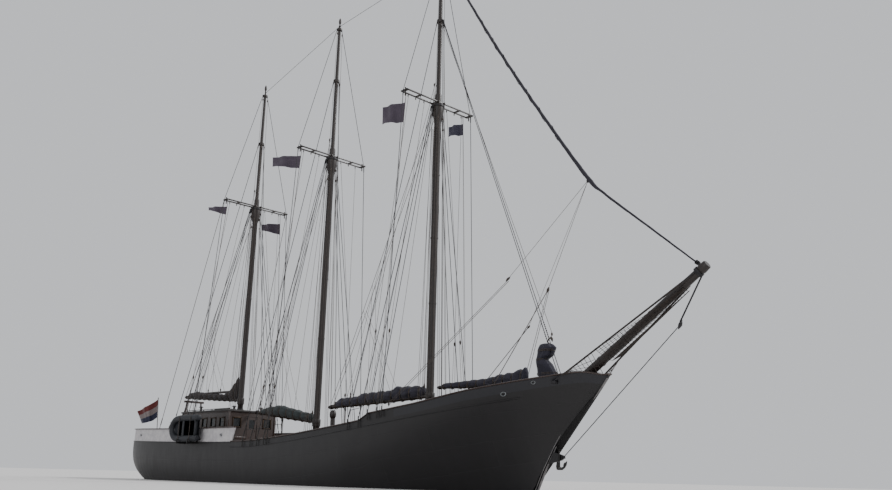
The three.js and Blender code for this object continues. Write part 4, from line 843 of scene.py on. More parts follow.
def moulding(
    shape: Shape, profile: Sequence[tuple[float, float]], base: Level, run: Sequence[tuple[float, int]]
) -> None:
    """Runs a section along the hull's rim.

    Args:
        shape: the mesh that takes it.
        profile: the section's corners, as (outwards, upwards) from the rim at the base level.
        base: the level that it follows.
        run: the stations, each a share of the length and the side, 1 for port and -1 for starboard.
    """
    rings = []
    for s, side in run:
        ring = []
        for out, up in profile:
            raised = lambda x, up=up: base(x) + up
            point = LINES.rim(s, LINES.level_at(raised, s), out)
            point.y *= side
            ring.append(point)
        rings.append(ring)
    along = [0.0]
    for before, after in zip(rings, rings[1:]):
        along.append(along[-1] + (after[0] - before[0]).length)
    shape.loft(rings, uv=lambda i, j: (along[i], j * 0.1))


def rounded_cap(out: float, inside: float, low: float, high: float) -> list[tuple[float, float]]:
    """Gives the section of a rail's cap with rounded edges."""
    r = (high - low) / 2
    middle = (high + low) / 2
    corners = []
    for centre, start in ((out - r, -90), (-inside + r, 90)):
        for step in range(5):
            a = math.radians(start + step * 45)
            corners.append((centre + r * math.cos(a), middle + r * math.sin(a)))
    return corners


@dataclass
class Hull:
    """The hull's shell with its keel, mouldings, bulwarks, rails and the fittings on its sides."""

    frame: dict[str, Any]
    plating: float = 0.09
    levels: int = 18
    well_fore: float = 0.97  # a share of the length
    keel: tuple[tuple[float, float], ...] = (
        (15.2, -1.3), (15.1, -1.9), (14.3, -2.5), (12.6, -2.85), (-18.3, -2.85), (-18.3, -2.68), (-16.45, -2.68),
        (-16.45, -0.7), (-8.0, -1.3),
    )
    around_stern: list[tuple[float, int]] = field(default_factory=list)
    around_bow: list[tuple[float, int]] = field(default_factory=list)

    def build(self) -> None:
        """Builds the hull's pieces."""
        aft = shares(0, BREAK_SHARE, 34)
        fore = shares(BREAK_SHARE, 1, 72)
        self.around_stern = [(s, 1) for s in reversed(aft)] + [(s, -1) for s in aft]
        self.around_bow = [(s, 1) for s in fore] + [(s, -1) for s in reversed(fore)]
        self.shell()
        self.edges()
        self.side_fittings()
        self.stanchions()
        dress(self.frame, "main_deck", Stuff.deck)
        dress(self.frame, "quarterdeck", Stuff.deck)
        dress(self.frame, "rudder", Stuff.hull_plain, 6)

    def ring(self, s: float, open_well: bool) -> list[Vector]:
        """Gives the hull's section at a station, down to the deck's underside where the well is open."""
        top = LINES.level_at(LINES.sheer, s)
        low = LINES.bottom(s)
        outer = []
        for j in range(1, self.levels + 1):
            z = mix(low, top, (j / self.levels) ** 1.5)
            outer.append(vec(LINES.x_at(s, z), LINES.breadth(s, z), z))
        deck = lambda x: LINES.deck_line(x) - LINES.bulwark + 0.004
        inside = []
        for share in (0.0, 0.3, 0.65, 1.0):
            z = mix(top, LINES.level_at(deck, s), share) if open_well else top - 0.004 * share
            inside.append(LINES.rim(s, z, -self.plating))
        port = [*outer, *inside]
        middle = [vec(LINES.x_at(s, low), 0, low)]
        floor = inside[-1]
        return [*middle, *port, vec(floor.x, 0, floor.z), *[vec(p.x, -p.y, p.z) for p in reversed(port)]]

    def shell(self) -> None:
        """Builds the plating as one body, open at the waist's well, with the keel and the stern gear."""
        shape = Shape()
        step = 0.0005
        runs = [(s, False) for s in shares(0, BREAK_SHARE, 36)]
        runs += [(s, True) for s in shares(BREAK_SHARE + step, self.well_fore, 60)]
        runs += [(s, False) for s in shares(self.well_fore + step, 1, 10)]
        rings = [self.ring(s, well) for s, well in runs]
        depths = [[LINES.sheer(p.x) - p.z for p in ring] for ring in rings]

        def spread(i: int, j: int) -> tuple[float, float]:
            """Gives metres along the hull and below the sheer."""
            spot = rings[i][j % len(rings[i])]
            return spot.x, depths[i][j % len(rings[i])]

        shape.loft(rings, uv=spread)
        keel = [shape.bm.verts.new((x, -0.14, z)) for x, z in self.keel]
        plate = shape.bm.faces.new(keel)
        raised = bmesh.ops.extrude_face_region(shape.bm, geom=[plate])["geom"]
        bmesh.ops.translate(shape.bm, vec=(0, 0.28, 0), verts=[v for v in raised if isinstance(v, bmesh.types.BMVert)])
        shape.bar(vec(-15.4, 0, -1.98), vec(-16.598, 0, -1.98), 0.24, 0.15, 24)
        shape.bar(vec(-18, 0, 0.2), vec(-18, 0, -0.979), 0.16, sides=24)
        shape.box((20.15, -0.29, 4.4), (20.55, 0.29, 5.34), 0.03)
        shape.loft(
            [
                [
                    vec(x, y, z) for x, z in ((17.5, 1.25), (18.6, 1.5), (18.68, 1.55), (18.68, 1.72), (17.8, 1.98))
                ] for y in (-0.06, 0.06)
            ]
        )
        shape.done("hull_shell", Stuff.hull, "black_paint", replaces=["hull"], sharp=30)

    def edges(self) -> None:
        """Builds the rails, the white bulwark, the rubbing strakes and the stem's bar."""
        both = lambda low, high, count: [[(s, side) for s in shares(low, high, count)] for side in (1, -1)]
        rail = Shape()
        cap = rounded_cap(0.06, 0.17, 0.001, 0.07)
        moulding(rail, cap, LINES.sheer, self.around_bow)
        rail.done("main_rail_cap", Stuff.rail, "rail_wood", replaces=["main_rail"])
        quarter = Shape()
        moulding(quarter, cap, LINES.quarter_rail, self.around_stern)
        quarter.done("quarterdeck_rail_cap", Stuff.rail, "rail_wood", replaces=["quarterdeck_rail"])
        white = Shape()
        height = 0.83
        top = lambda x: LINES.quarter_rail(x) - height
        wall = [(-0.1, 0.0), (-0.03, 0.0), (-0.03, height), (-0.1, height)]
        moulding(white, wall, top, self.around_stern)
        white.done("white_bulwark", Stuff.white, "white_paint", replaces=["quarterdeck_bulwark"])
        strake = Shape()
        half_round = [(-0.01, -0.035), (0.02, -0.025), (0.03, 0), (0.02, 0.025), (-0.01, 0.035)]
        moulding(strake, half_round, lambda x: LINES.sheer(x) - 0.02, self.around_stern)
        for run in both(BREAK_SHARE, 0.93, 40):
            moulding(strake, half_round, lambda x: LINES.deck_line(x) - 0.3, run)
        strake.done("rubbing_strakes", Stuff.hull_plain, "black_paint")
        stem = Shape()
        heights = [mix(-0.9, LINES.sheer(LINES.bow_x) - 0.12, i / 20) for i in range(21)]
        section = lambda z: [
            vec(LINES.stem_x(z) + a, b, z) for a, b in ((-0.1, -0.105), (0.035, -0.05), (0.035, 0.05), (-0.1, 0.105))
        ]
        stem.loft([section(z) for z in heights])
        stem.done("stem_bar", Stuff.stem, "black_paint")

    def side_fittings(self) -> None:
        """Builds the lips of the mooring pipes, by x, depth below the sheer and size."""
        ring = Shape()
        spots = [(18.35, 0.14, 0.07), (16.85, 0.42, 0.09), (-5.4, -0.42, 0.07), (-16.6, -0.42, 0.07)]
        for x, below, size in spots:
            for side in (-1, 1):
                z = LINES.sheer(x) - below
                at = LINES.rim(LINES.share_at(x, z), z, 0.012)
                nose = LINES.rim(LINES.share_at(x, z), z, 0.2) - at
                at.y *= side
                nose.y *= side
                self.lip(ring, at, nose.normalized(), size)
        ring.done("mooring_pipe_lips", Stuff.steel, "cast_iron")

    @staticmethod
    def lip(shape: Shape, centre: Vector, way: Vector, size: float) -> None:
        """Adds the oval lip of a pipe through the bulwark."""
        side = way.cross(UP).normalized()
        up = side.cross(way)
        turns = [math.tau * i / 18 for i in range(18)]
        shape.tube(
            [centre + side * size * 1.35 * math.cos(a) + up * size * math.sin(a) for a in turns], size * 0.28, 6,
            looped=True
        )

    def stanchions(self) -> None:
        """Builds the bulwark's inner stays along the waist."""
        shape = Shape()
        x = LINES.break_x + 0.9
        while x < 18.0:
            for side in (-1, 1):
                foot, top = LINES.main_deck(x), LINES.sheer(x)
                low, high = (LINES.side(x, z) - self.plating for z in (foot, top))
                shape.bar(vec(x, side * (low - 0.24), foot), vec(x, side * (high - 0.04), top - 0.02), 0.035, 0.03, 8)
            x += 1.15
        shape.done("bulwark_stays", Stuff.hull_plain, "black_paint")


# Masts and rigging


BAR_DEPTH = 0.09  # a crosstree's bar
HOUNDS_BELOW = 1.15  # the hounds' foot, below the crosstree
BAND_BELOW = 4.63  # the upper band's middle, below the head
CAP_BELOW = 0.855  # the cap band's middle, below the head
SADDLE_BELOW = 0.1508  # a boom's saddle, below the boom's axis
RAIL_CAP = 0.0708  # the rail's cap with its rounded top
PEDESTAL = (16.9, 5.0)  # the staysail boom's pivot: its x and height


@dataclass
class Mast:
    """A pole mast with its crosstrees, shrouds and running rigging."""

    name: str
    x: float
    crosstree: float
    head: float
    lower: float
    upper: float
    half: float
    boom_z: float
    backstay_x: float | None = None
    pendant_z: float = 7.0

    def deck(self, x: float | None = None) -> float:
        """Gives the deck's top near the mast."""
        place = self.x if x is None else x
        return LINES.quarter_deck(place) if place < LINES.break_x else LINES.main_deck(place)

    def rail(self, x: float) -> float:
        """Gives the base of the rail's cap beside the mast."""
        return LINES.quarter_rail(x) if self.name == "mizzen" else LINES.sheer(x)

    def radius(self, z: float) -> float:
        """Gives the pole's radius below the hounds."""
        heel = self.deck() - 0.16
        top = self.crosstree - BAR_DEPTH - HOUNDS_BELOW
        return mix(self.lower * 1.04, self.lower, clamp((z - heel) / (top - heel)))

    def build(self) -> None:
        """Builds the mast and all that stands with it."""
        self.pole()
        self.crosstrees()
        self.shrouds()
        self.falls()

    def pole(self) -> None:
        """Turns the pole, with its boom saddle, hounds, bands and truck."""
        low, up, c, head = self.lower, self.upper, self.crosstree, self.head
        band, shoulder, heel = head - 4.6, c - BAR_DEPTH, self.deck() - 0.16
        saddle = self.boom_z - SADDLE_BELOW
        thick = self.radius(saddle)
        profile = [
            (0, heel), (low * 1.04, heel), (thick, saddle - 0.16), (thick + 0.045, saddle - 0.1),
            (thick + 0.05, saddle - 0.08), (thick + 0.05, saddle), (thick, saddle), (low, shoulder - HOUNDS_BELOW),
            (0.24, shoulder - 0.95), (0.3, shoulder - 0.63), (0.325, shoulder - 0.45), (0.33, shoulder - 0.3),
            (0.33, shoulder - 0.01), (0.32, shoulder), (low * 0.98, shoulder), (low * 0.98, c + 0.46),
            (low * 0.94, c + 0.5), (up, c + 0.58), (up * 0.95, band - 0.14), (up * 1.5, band - 0.12),
            (up * 1.5, band + 0.06), (up * 0.9, band + 0.08), (up * 0.75, head - 0.95), (up * 1.35, head - 0.93),
            (up * 1.35, head - 0.78), (0.05, head - 0.75), (0.045, head - 0.42), (0.07, head - 0.38),
            (0.085, head - 0.32), (0.085, head - 0.2), (0.07, head - 0.12), (0.03, head), (0, head),
        ]
        shape = Shape()
        shape.lathe(profile, vec(self.x, 0, 0), UP, 32)
        for share in (0.3, 0.55, 0.8):
            z = mix(self.boom_z + 0.5, shoulder - 1.4, share)
            r = self.radius(z)
            shape.lathe(
                [(r - 0.01, z), (r + 0.016, z + 0.01), (r + 0.016, z + 0.09), (r - 0.01, z + 0.1)], vec(self.x, 0, 0),
                UP, 32
            )
        shape.done(f"{self.name}_mast_pole", Stuff.spar, "spar_paint", replaces=[f"{self.name}_mast"], sharp=42)

    def crosstrees(self) -> None:
        """Builds the two bars on their cheeks, with spacers, end posts and the fittings under them."""
        shape = Shape()
        c, low = self.crosstree, self.crosstree - 0.0892
        off = self.lower * 0.98 + 0.0316
        reach = off + 0.03
        for d in (-1, 1):
            shape.box((self.x + d * off - 0.03, -self.half, low), (self.x + d * off + 0.03, self.half, c), 0.012)
            shape.box(
                (self.x - reach - 0.08, d * off - 0.03, low), (self.x + reach + 0.08, d * off + 0.03, c + 0.02), 0.012
            )
            y = d * self.half * 0.58
            shape.box((self.x - reach, y - 0.05, low), (self.x + reach, y + 0.05, c - 0.005), 0.01)
            y = d * (self.half - 0.08)
            shape.box((self.x - reach, y - 0.08, low), (self.x + reach, y + 0.08, c - 0.005), 0.01)
            y = d * (self.half - 0.12)
            shape.lathe(
                [(0, -0.36), (0.03, -0.35), (0.035, -0.3), (0.035, 0.1), (0.045, 0.12), (0.03, 0.15), (0, 0.16)],
                vec(self.x, y, c), UP, 12
            )
            for share in (0.34, 0.58, 0.8):
                place = vec(self.x - off, d * self.half * share, low - 0.07)
                shape.block(place, UP, 0.07)
        shape.done(f"{self.name}_crosstree_bars", Stuff.boom, "spar_paint", replaces=[f"{self.name}_crosstrees"])

    def foot(self, aft: float, side: int) -> Vector:
        """Gives a shroud's foot on the outer edge of the rail's cap."""
        x = self.x - aft
        z = self.rail(x) + 0.035
        y = max(LINES.rim(LINES.share_at(x + step, z), z, 0.06).y for step in (-0.05, 0.05))
        return vec(x, side * (y + 0.023), z + 0.02)

    def shrouds(self) -> None:
        """Builds the shrouds with their screws, chain plates and poles, and the cap shrouds over the crosstree."""
        wire, metal = Shape(), Shape()
        hound_z = self.crosstree - 0.21
        band_z, head_z = self.head - BAND_BELOW, self.head - CAP_BELOW
        for d in (-1, 1):
            tip = vec(self.x, d * (self.half + 0.04), self.crosstree - 0.045)
            top = vec(self.x, d * (self.upper * 1.35 + 0.02), head_z)
            wire.rope(top, tip, 0.018)
            heads = [
                tip, *(vec(self.x - 0.1 * i, d * 0.345, hound_z) for i in range(3)),
                vec(self.x, d * (self.upper * 1.5 + 0.02), band_z)
            ]
            poles = []
            for aft, head in zip((0, 0.35, 1.05, 1.75, 2.6), heads):
                end = self.foot(aft, d)
                way = (head - end).normalized()
                wire.rope(end + way * 0.86, head, 0.02)
                wire.bar(end + way * 0.86, end + way * 1.05, 0.032, 0.024)
                wire.bar(head - way * 0.35, head, 0.028, 0.034)
                metal.turnbuckle(end + way * 0.14, way, 0.72)
                metal.box(
                    (end.x - 0.04, end.y - 0.012, end.z - 0.4), (end.x + 0.04, end.y + 0.012, end.z + 0.17), 0.008
                )
                for down in (0.1, 0.28):
                    metal.ball(vec(end.x, end.y + d * 0.012, end.z - down), (0.02, 0.02, 0.02), sides=8)
                poles.append(end + way * 0.62)
            for one, two in zip(poles, poles[1:]):
                metal.rope(one.lerp(two, -0.04), two.lerp(one, -0.04), 0.015)
            for part, r in ((hound_z, 0.36), (band_z, self.upper * 1.5 + 0.03), (head_z, self.upper * 1.35 + 0.03)):
                metal.ball(vec(self.x, d * r, part), (0.045, 0.03, 0.06), sides=8)
        wire.lathe(
            [(0.332, hound_z - 0.055), (0.37, hound_z - 0.05), (0.37, hound_z + 0.05), (0.332, hound_z + 0.055)],
            vec(self.x, 0, 0), UP, 24
        )
        wire.done(f"{self.name}_shroud_wires", Stuff.wire, "wire", replaces=[f"{self.name}_shrouds"])
        metal.done(f"{self.name}_rigging_screws", Stuff.iron, "wire")

    def falls(self) -> None:
        """Builds the halyards' falls down the mast, the pendants with their tackles, and the backstays."""
        shape = Shape()
        c, x = self.crosstree, self.x
        pins = self.deck() + (1.15 if self.name == "main" else 0.98)
        if self.name == "mizzen":
            pins = 4.75
        for d in (-1, 1):
            for dx, dy, up, end_x, end_y in (
                (0.22, 0.2, c - 1.0, 0.5, 0.7), (-0.2, 0.26, c - 0.75, -0.02, 0.76), (0.1, 0.32, c - 1.6, 0.14, 0.74),
                (-0.26, 0.1, c + 1.2, -0.16, 0.78), (0.2, 0.12, self.head - 4.9, 0.7, 0.55),
                (0.05, 0.2, self.head - 1.2, 0.25, 0.66),
            ):
                shape.rope(vec(x + dx, d * dy, up), vec(x + end_x, d * end_y, pins), 0.011)
                shape.block(vec(x + dx, d * dy, up), UP, 0.09)
            for share, foot_x in ((0.34, -0.5), (0.8, -1.5)):
                high = vec(x - 0.2, d * self.half * share, c - 0.22)
                low_z = self.rail(x + foot_x) + 0.08
                foot = vec(x + foot_x, d * (LINES.side(x + foot_x, low_z) - 0.08), low_z)
                at = high.lerp(foot, (high.z - self.pendant_z) / (high.z - foot.z))
                way = (high - foot).normalized()
                shape.rope(high, at, 0.011)
                shape.block(at, way, 0.11)
                for off in (-0.05, 0.05):
                    shape.rope(at + vec(off, 0, -0.08), foot + vec(off * 3, 0, 0), 0.01)
            if self.backstay_x is not None:
                z = self.rail(self.backstay_x) + 0.09
                end = vec(self.backstay_x, d * (LINES.side(self.backstay_x, z) - 0.06), z)
                tip = vec(x, d * (self.half + 0.04), c - 0.05)
                way = (tip - end).normalized()
                shape.rope(end + way * 0.9, tip, 0.018)
                shape.turnbuckle(end, way, 0.9)
        shape.done(f"{self.name}_mast_falls", Stuff.rope, "wire")


MASTS = {
    "fore": Mast(
        "fore", x=9.77, crosstree=21.52, head=31.35, lower=0.2, upper=0.135, half=2.65, boom_z=4.8, pendant_z=8.0
    ),
    "main": Mast(
        "main", x=-0.17, crosstree=20.7, head=30.65, lower=0.19, upper=0.128, half=2.62, boom_z=3.7, pendant_z=5.6
    ),
    "mizzen": Mast(
        "mizzen", x=-8.9, crosstree=19.05, head=28.43, lower=0.178, upper=0.125, half=2.54, boom_z=5.36,
        backstay_x=-13.6, pendant_z=6.7,
    ),
}


@dataclass
class Boom:
    """A boom with its furled sail, gaff, lashings, lifts and sheet."""

    name: str
    x: float
    z: float
    length: float
    rise: float
    radius: float
    pole: float
    sections: tuple[tuple[float, float, float], ...]
    finish: Finish
    gaff: tuple[float, float, float, float, float] | None = None
    gaskets: float = 0.72
    sheet: tuple[float, float, float] | None = None

    @property
    def body(self) -> str:
        """Gives the body that turns about the mast."""
        return f"{self.name}_boom_body"

    def at(self, r: float, up: float = 0.0, y: float = 0.0) -> Vector:
        """Gives a point at a distance from the mast, above the boom's axis."""
        return vec(self.x - r, y, self.z + self.rise * r / self.length + up)

    def build(self) -> None:
        """Builds the boom's pieces."""
        self.spar()
        self.sail()
        if self.gaff:
            self.rigging()
        if self.sheet:
            self.sheets()

    def spar(self) -> None:
        """Turns the spar, with its collar round the mast and its bands."""
        shape = Shape()
        inner = self.pole + 0.003
        way = (self.at(self.length) - self.at(0)).normalized()
        near = inner + 0.03
        r, full = self.radius, (self.at(self.length) - self.at(near)).length
        profile = [
            (0, 0), (r * 0.8, 0), (r * 0.97, 0.5), (r, full * 0.4), (r * 0.85, full - 0.04), (r * 0.7, full), (0, full)
        ]
        shape.lathe(profile, self.at(near), way, 20)
        for share in (0.12, 0.4, 0.7, 0.97):
            mid = self.at(near) + way * full * share
            shape.lathe([(r * 0.8, -0.05), (r + 0.013, -0.045), (r + 0.013, 0.045), (r * 0.8, 0.05)], mid, way, 20)
        collar = [
            (inner, -0.15), (inner + 0.042, -0.15), (inner + 0.05, -0.13), (inner + 0.05, 0.13), (inner + 0.042, 0.15),
            (inner, 0.15), (inner, -0.15)
        ]
        shape.lathe(collar, vec(self.x, 0, self.z), UP, 28)
        node = "staysail_boom" if self.name == "staysail" else f"{self.name}_boom"
        shape.done(f"{self.name}_boom_spar", Stuff.boom, "spar_paint", self.body, [node])

    def section(self, r: float) -> tuple[float, float]:
        """Gives the furled sail's top and half width at a distance, smoothed between the table's rows."""
        rows = self.sections
        for near, far in zip(rows, rows[1:]):
            if r <= far[0]:
                t = clamp((r - near[0]) / (far[0] - near[0]))
                t = t * t * (3 - 2 * t) * 0.5 + t * 0.5
                return mix(near[1], far[1], t), mix(near[2], far[2], t)
        return rows[-1][1], rows[-1][2]

    def lashing_places(self) -> list[float]:
        """Gives the distances at which the sail is tied."""
        first, last = self.sections[0][0] + 0.35, self.sections[-1][0] - 0.25
        count = max(2, round((last - first) / self.gaskets))
        return [mix(first, last, i / count) for i in range(count + 1)]

    def outline(self, r: float, share: float, ties: Sequence[float]) -> Vector:
        """Gives a point of the furled sail: flaked folds, drawn in at the ties.

        Args:
            r: distance from the mast.
            share: place round the section, from 0 to 1.
            ties: the distances at which it is tied.

        Returns:
            The point.
        """
        top, half = self.section(r)
        start, end = self.sections[0][0], self.sections[-1][0]
        a = math.tau * share
        high = (top + 0.06) / 2
        gap = min(abs(r - tie) for tie in ties)
        pinch = 1 - 0.2 * math.exp(-((gap / 0.09) ** 2)) + 0.05 * clamp(gap / (self.gaskets / 2))
        drift = noise.noise(vec(r * 0.9, self.x, 3.1)) * 1.6
        folds = 0.0
        for k, depth, turn in ((3, 0.12, 0.4), (5, 0.09, 1.9), (8, 0.05, 0.7)):
            crease = 1 - abs(math.sin(k * a / 2 + turn + drift * (1 + 0.2 * k) + 0.35 * r))
            folds -= depth * crease**3
        lumps = 0.09 * noise.noise(vec(r * 1.7 + self.x, math.cos(a) * 1.2, math.sin(a) * 1.2))
        lumps += 0.035 * noise.noise(vec(r * 6.0 + self.x, math.cos(a) * 4, math.sin(a) * 4))
        close = clamp((r - start) / 0.14) ** 0.5 * clamp((end - r) / 0.16) ** 0.5
        size = (pinch + folds + lumps) * mix(0.12, 1.0, close)
        return self.at(r, top - high + high * math.sin(a) * size * 0.98, half * math.cos(a) * size * 1.04)

    def sail(self) -> None:
        """Builds the furled sail and the lashings round it and the boom."""
        ties = self.lashing_places()
        start, end = self.sections[0][0], self.sections[-1][0]
        rows, around = round((end - start) / 0.055), 40
        places = [mix(start, end, i / rows) for i in range(rows + 1)]
        shape = Shape()
        rings = [[self.outline(r, j / around, ties) for j in range(around)] for r in places]
        shape.loft(rings, uv=lambda i, j: (places[i], j * 0.045))
        node = "staysail_furled" if self.name == "staysail" else f"{self.name}_sail"
        piece = shape.done(f"{self.name}_furled_cloth", self.finish, "sail", self.body, [node], sharp=180)
        cords = Shape()
        for tie in ties:
            top, half = self.section(tie)
            high = (top * 0.9 + self.radius + 0.02) / 2
            for shift in (-0.022, 0.022):
                loop = []
                for i in range(20):
                    a = math.tau * i / 20
                    loop.append(
                        self.at(
                            tie + shift, top * 0.9 - high + high * math.sin(a),
                            max(half * 0.92, self.radius + 0.02) * math.cos(a)
                        )
                    )
                cords.tube(loop, 0.018, 5, looped=True)
        cords.done(f"{self.name}_sail_lashings", Stuff.rope, "wire", self.body)

    def rigging(self) -> None:
        """Builds the gaff with its jaws and blocks, the halyards to it, and the boom's topping lifts."""
        near, near_up, far, far_up, radius = self.gaff
        mast = MASTS[self.name]
        a, b = self.at(near, near_up), self.at(far, far_up)
        spar = Shape()
        length = (b - a).length
        profile = [
            (0, 0), (radius, 0), (radius * 1.05, length * 0.4), (radius * 0.8, length - 0.03), (radius * 0.6, length),
            (0, length)
        ]
        spar.lathe(profile, a, b - a, 16)
        spar.done(f"{self.name}_gaff", Stuff.boom, "spar_paint", self.body)
        shape = Shape()
        aloft = mast.crosstree
        for share, up in ((0.36, 0.9), (0.62, 0.5), (0.86, 1.4)):
            hang = a.lerp(b, share) + vec(0, 0, radius + 0.1)
            shape.block(hang, UP, 0.1)
            top = vec(self.x - mast.lower - 0.12, 0.05, aloft + up)
            shape.rope(hang + vec(0, 0, 0.08), top, 0.011)
        throat = self.at(near + 0.05, near_up + radius + 0.1)
        shape.block(throat, UP, 0.12)
        for y in (-0.04, 0.04):
            shape.rope(throat + vec(0, y, 0.1), vec(self.x - mast.lower - 0.16, y, aloft - 1.5), 0.011)
        end = self.length * 0.975
        for d in (-1, 1):
            low = self.at(end, self.radius * 0.6, d * 0.1)
            shape.rope(low, vec(self.x - 0.3, d * 0.16, aloft - 0.5), 0.014)
            for share, height in ((0.32, 0.55), (0.56, 0.7), (0.78, 0.85)):
                foot = self.at(self.length * share, 0, d * (self.radius + 0.01))
                side = self.section(self.length * share)[1]
                knee = self.at(self.length * share, 0.3, d * (side + 0.02))
                shape.rope(foot, knee, 0.009)
                lift = low.lerp(vec(self.x - 0.3, d * 0.16, aloft - 0.5), height * 0.6)
                shape.rope(knee, lift, 0.009)
        shape.done(f"{self.name}_boom_lifts", Stuff.rope, "wire", self.body)

    def sheets(self) -> None:
        """Builds the sheet from the boom to the deck, with its blocks."""
        r, x, z = self.sheet
        top = self.at(r, -self.radius - 0.1)
        foot = vec(x, 0, z)
        shape = Shape()
        for off in (-0.06, 0.0, 0.06):
            path = [(foot + vec(0, off, 0.16)).lerp(top + vec(0, off * 0.6, -0.05), i / 10) for i in range(11)]
            shape.tube(path, 0.014, 5)
        rope = shape.done(f"{self.name}_sheet", Stuff.rope, "wire", "")
        self.body
        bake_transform(rope)
        low, high = Shape(), Shape()
        low.block(foot + vec(0, 0, 0.14), UP, 0.12)
        low.box((x - 0.14, -0.09, z - 0.02), (x + 0.14, 0.09, z + 0.03), 0.01)
        low.done(f"{self.name}_sheet_deck_block", Stuff.iron, "cast_iron")
        high.block(top, UP, 0.12)
        high.done(f"{self.name}_sheet_boom_block", Stuff.iron, "cast_iron", self.body)


FURLS = {
    "fore": (
        (0.36, 0.55, 0.2), (1.5, 0.65, 0.27), (2.6, 0.73, 0.28), (2.95, 0.56, 0.28), (5.75, 0.58, 0.26),
        (6.0, 0.44, 0.24), (7.55, 0.46, 0.2), (8.05, 0.3, 0.13), (8.3, 0.15, 0.07),
    ),
    "main": (
        (0.35, 0.48, 0.2), (1.2, 0.5, 0.22), (2.4, 0.6, 0.26), (3.8, 0.69, 0.28), (4.9, 0.52, 0.24), (5.9, 0.27, 0.15),
        (6.3, 0.17, 0.08)
    ),
    "mizzen": (
        (0.34, 1.72, 0.2), (0.75, 1.3, 0.24), (1.1, 0.8, 0.25), (2.1, 0.36, 0.22), (4.0, 0.38, 0.24),
        (5.9, 0.44, 0.24), (6.8, 0.36, 0.2), (7.2, 0.17, 0.1),
    ),
    "staysail": (
        (0.3, 0.92, 0.15), (0.65, 0.81, 0.2), (1.35, 0.64, 0.2), (3.4, 0.36, 0.17), (6.0, 0.22, 0.12), (6.3, 0.12, 0.07)
    ),
}


def booms() -> list[Boom]:
    """Gives the ship's four booms."""

    def on_mast(name: str, finish: Finish, sheet: tuple[float, float, float], **sizes: Any) -> Boom:
        """Gives a boom at its mast's saddle."""
        mast = MASTS[name]
        pole = mast.radius(mast.boom_z - 0.15)
        return Boom(name, mast.x, mast.boom_z, pole=pole, sections=FURLS[name], finish=finish, sheet=sheet, **sizes)

    return [
        on_mast(
            "fore", Stuff.fore_sail, (7.2, 2.57, LINES.main_deck(2.57)),
            length=8.73, rise=-0.28, radius=0.13, gaff=(0.42, 0.35, 7.8, 0.25, 0.085),
        ),
        on_mast(
            "main", Stuff.main_sail, (3.6, -3.77, LINES.main_deck(-3.75)),
            length=6.78, rise=0.81, radius=0.12, gaff=(0.42, 0.3, 6.0, 0.15, 0.08),
        ),
        on_mast(
            "mizzen", Stuff.mizzen_sail, (7.2, -16.1, LINES.quarter_deck(-16.1)),
            length=7.6, rise=0.54, radius=0.115, gaff=(0.42, 0.6, 6.9, 0.22, 0.08),
        ),
        Boom(
            "staysail", *PEDESTAL, length=6.55, rise=0.2, radius=0.09, pole=0.09, sections=FURLS["staysail"],
            finish=Stuff.fore_sail, gaskets=0.6,
        ),
    ]


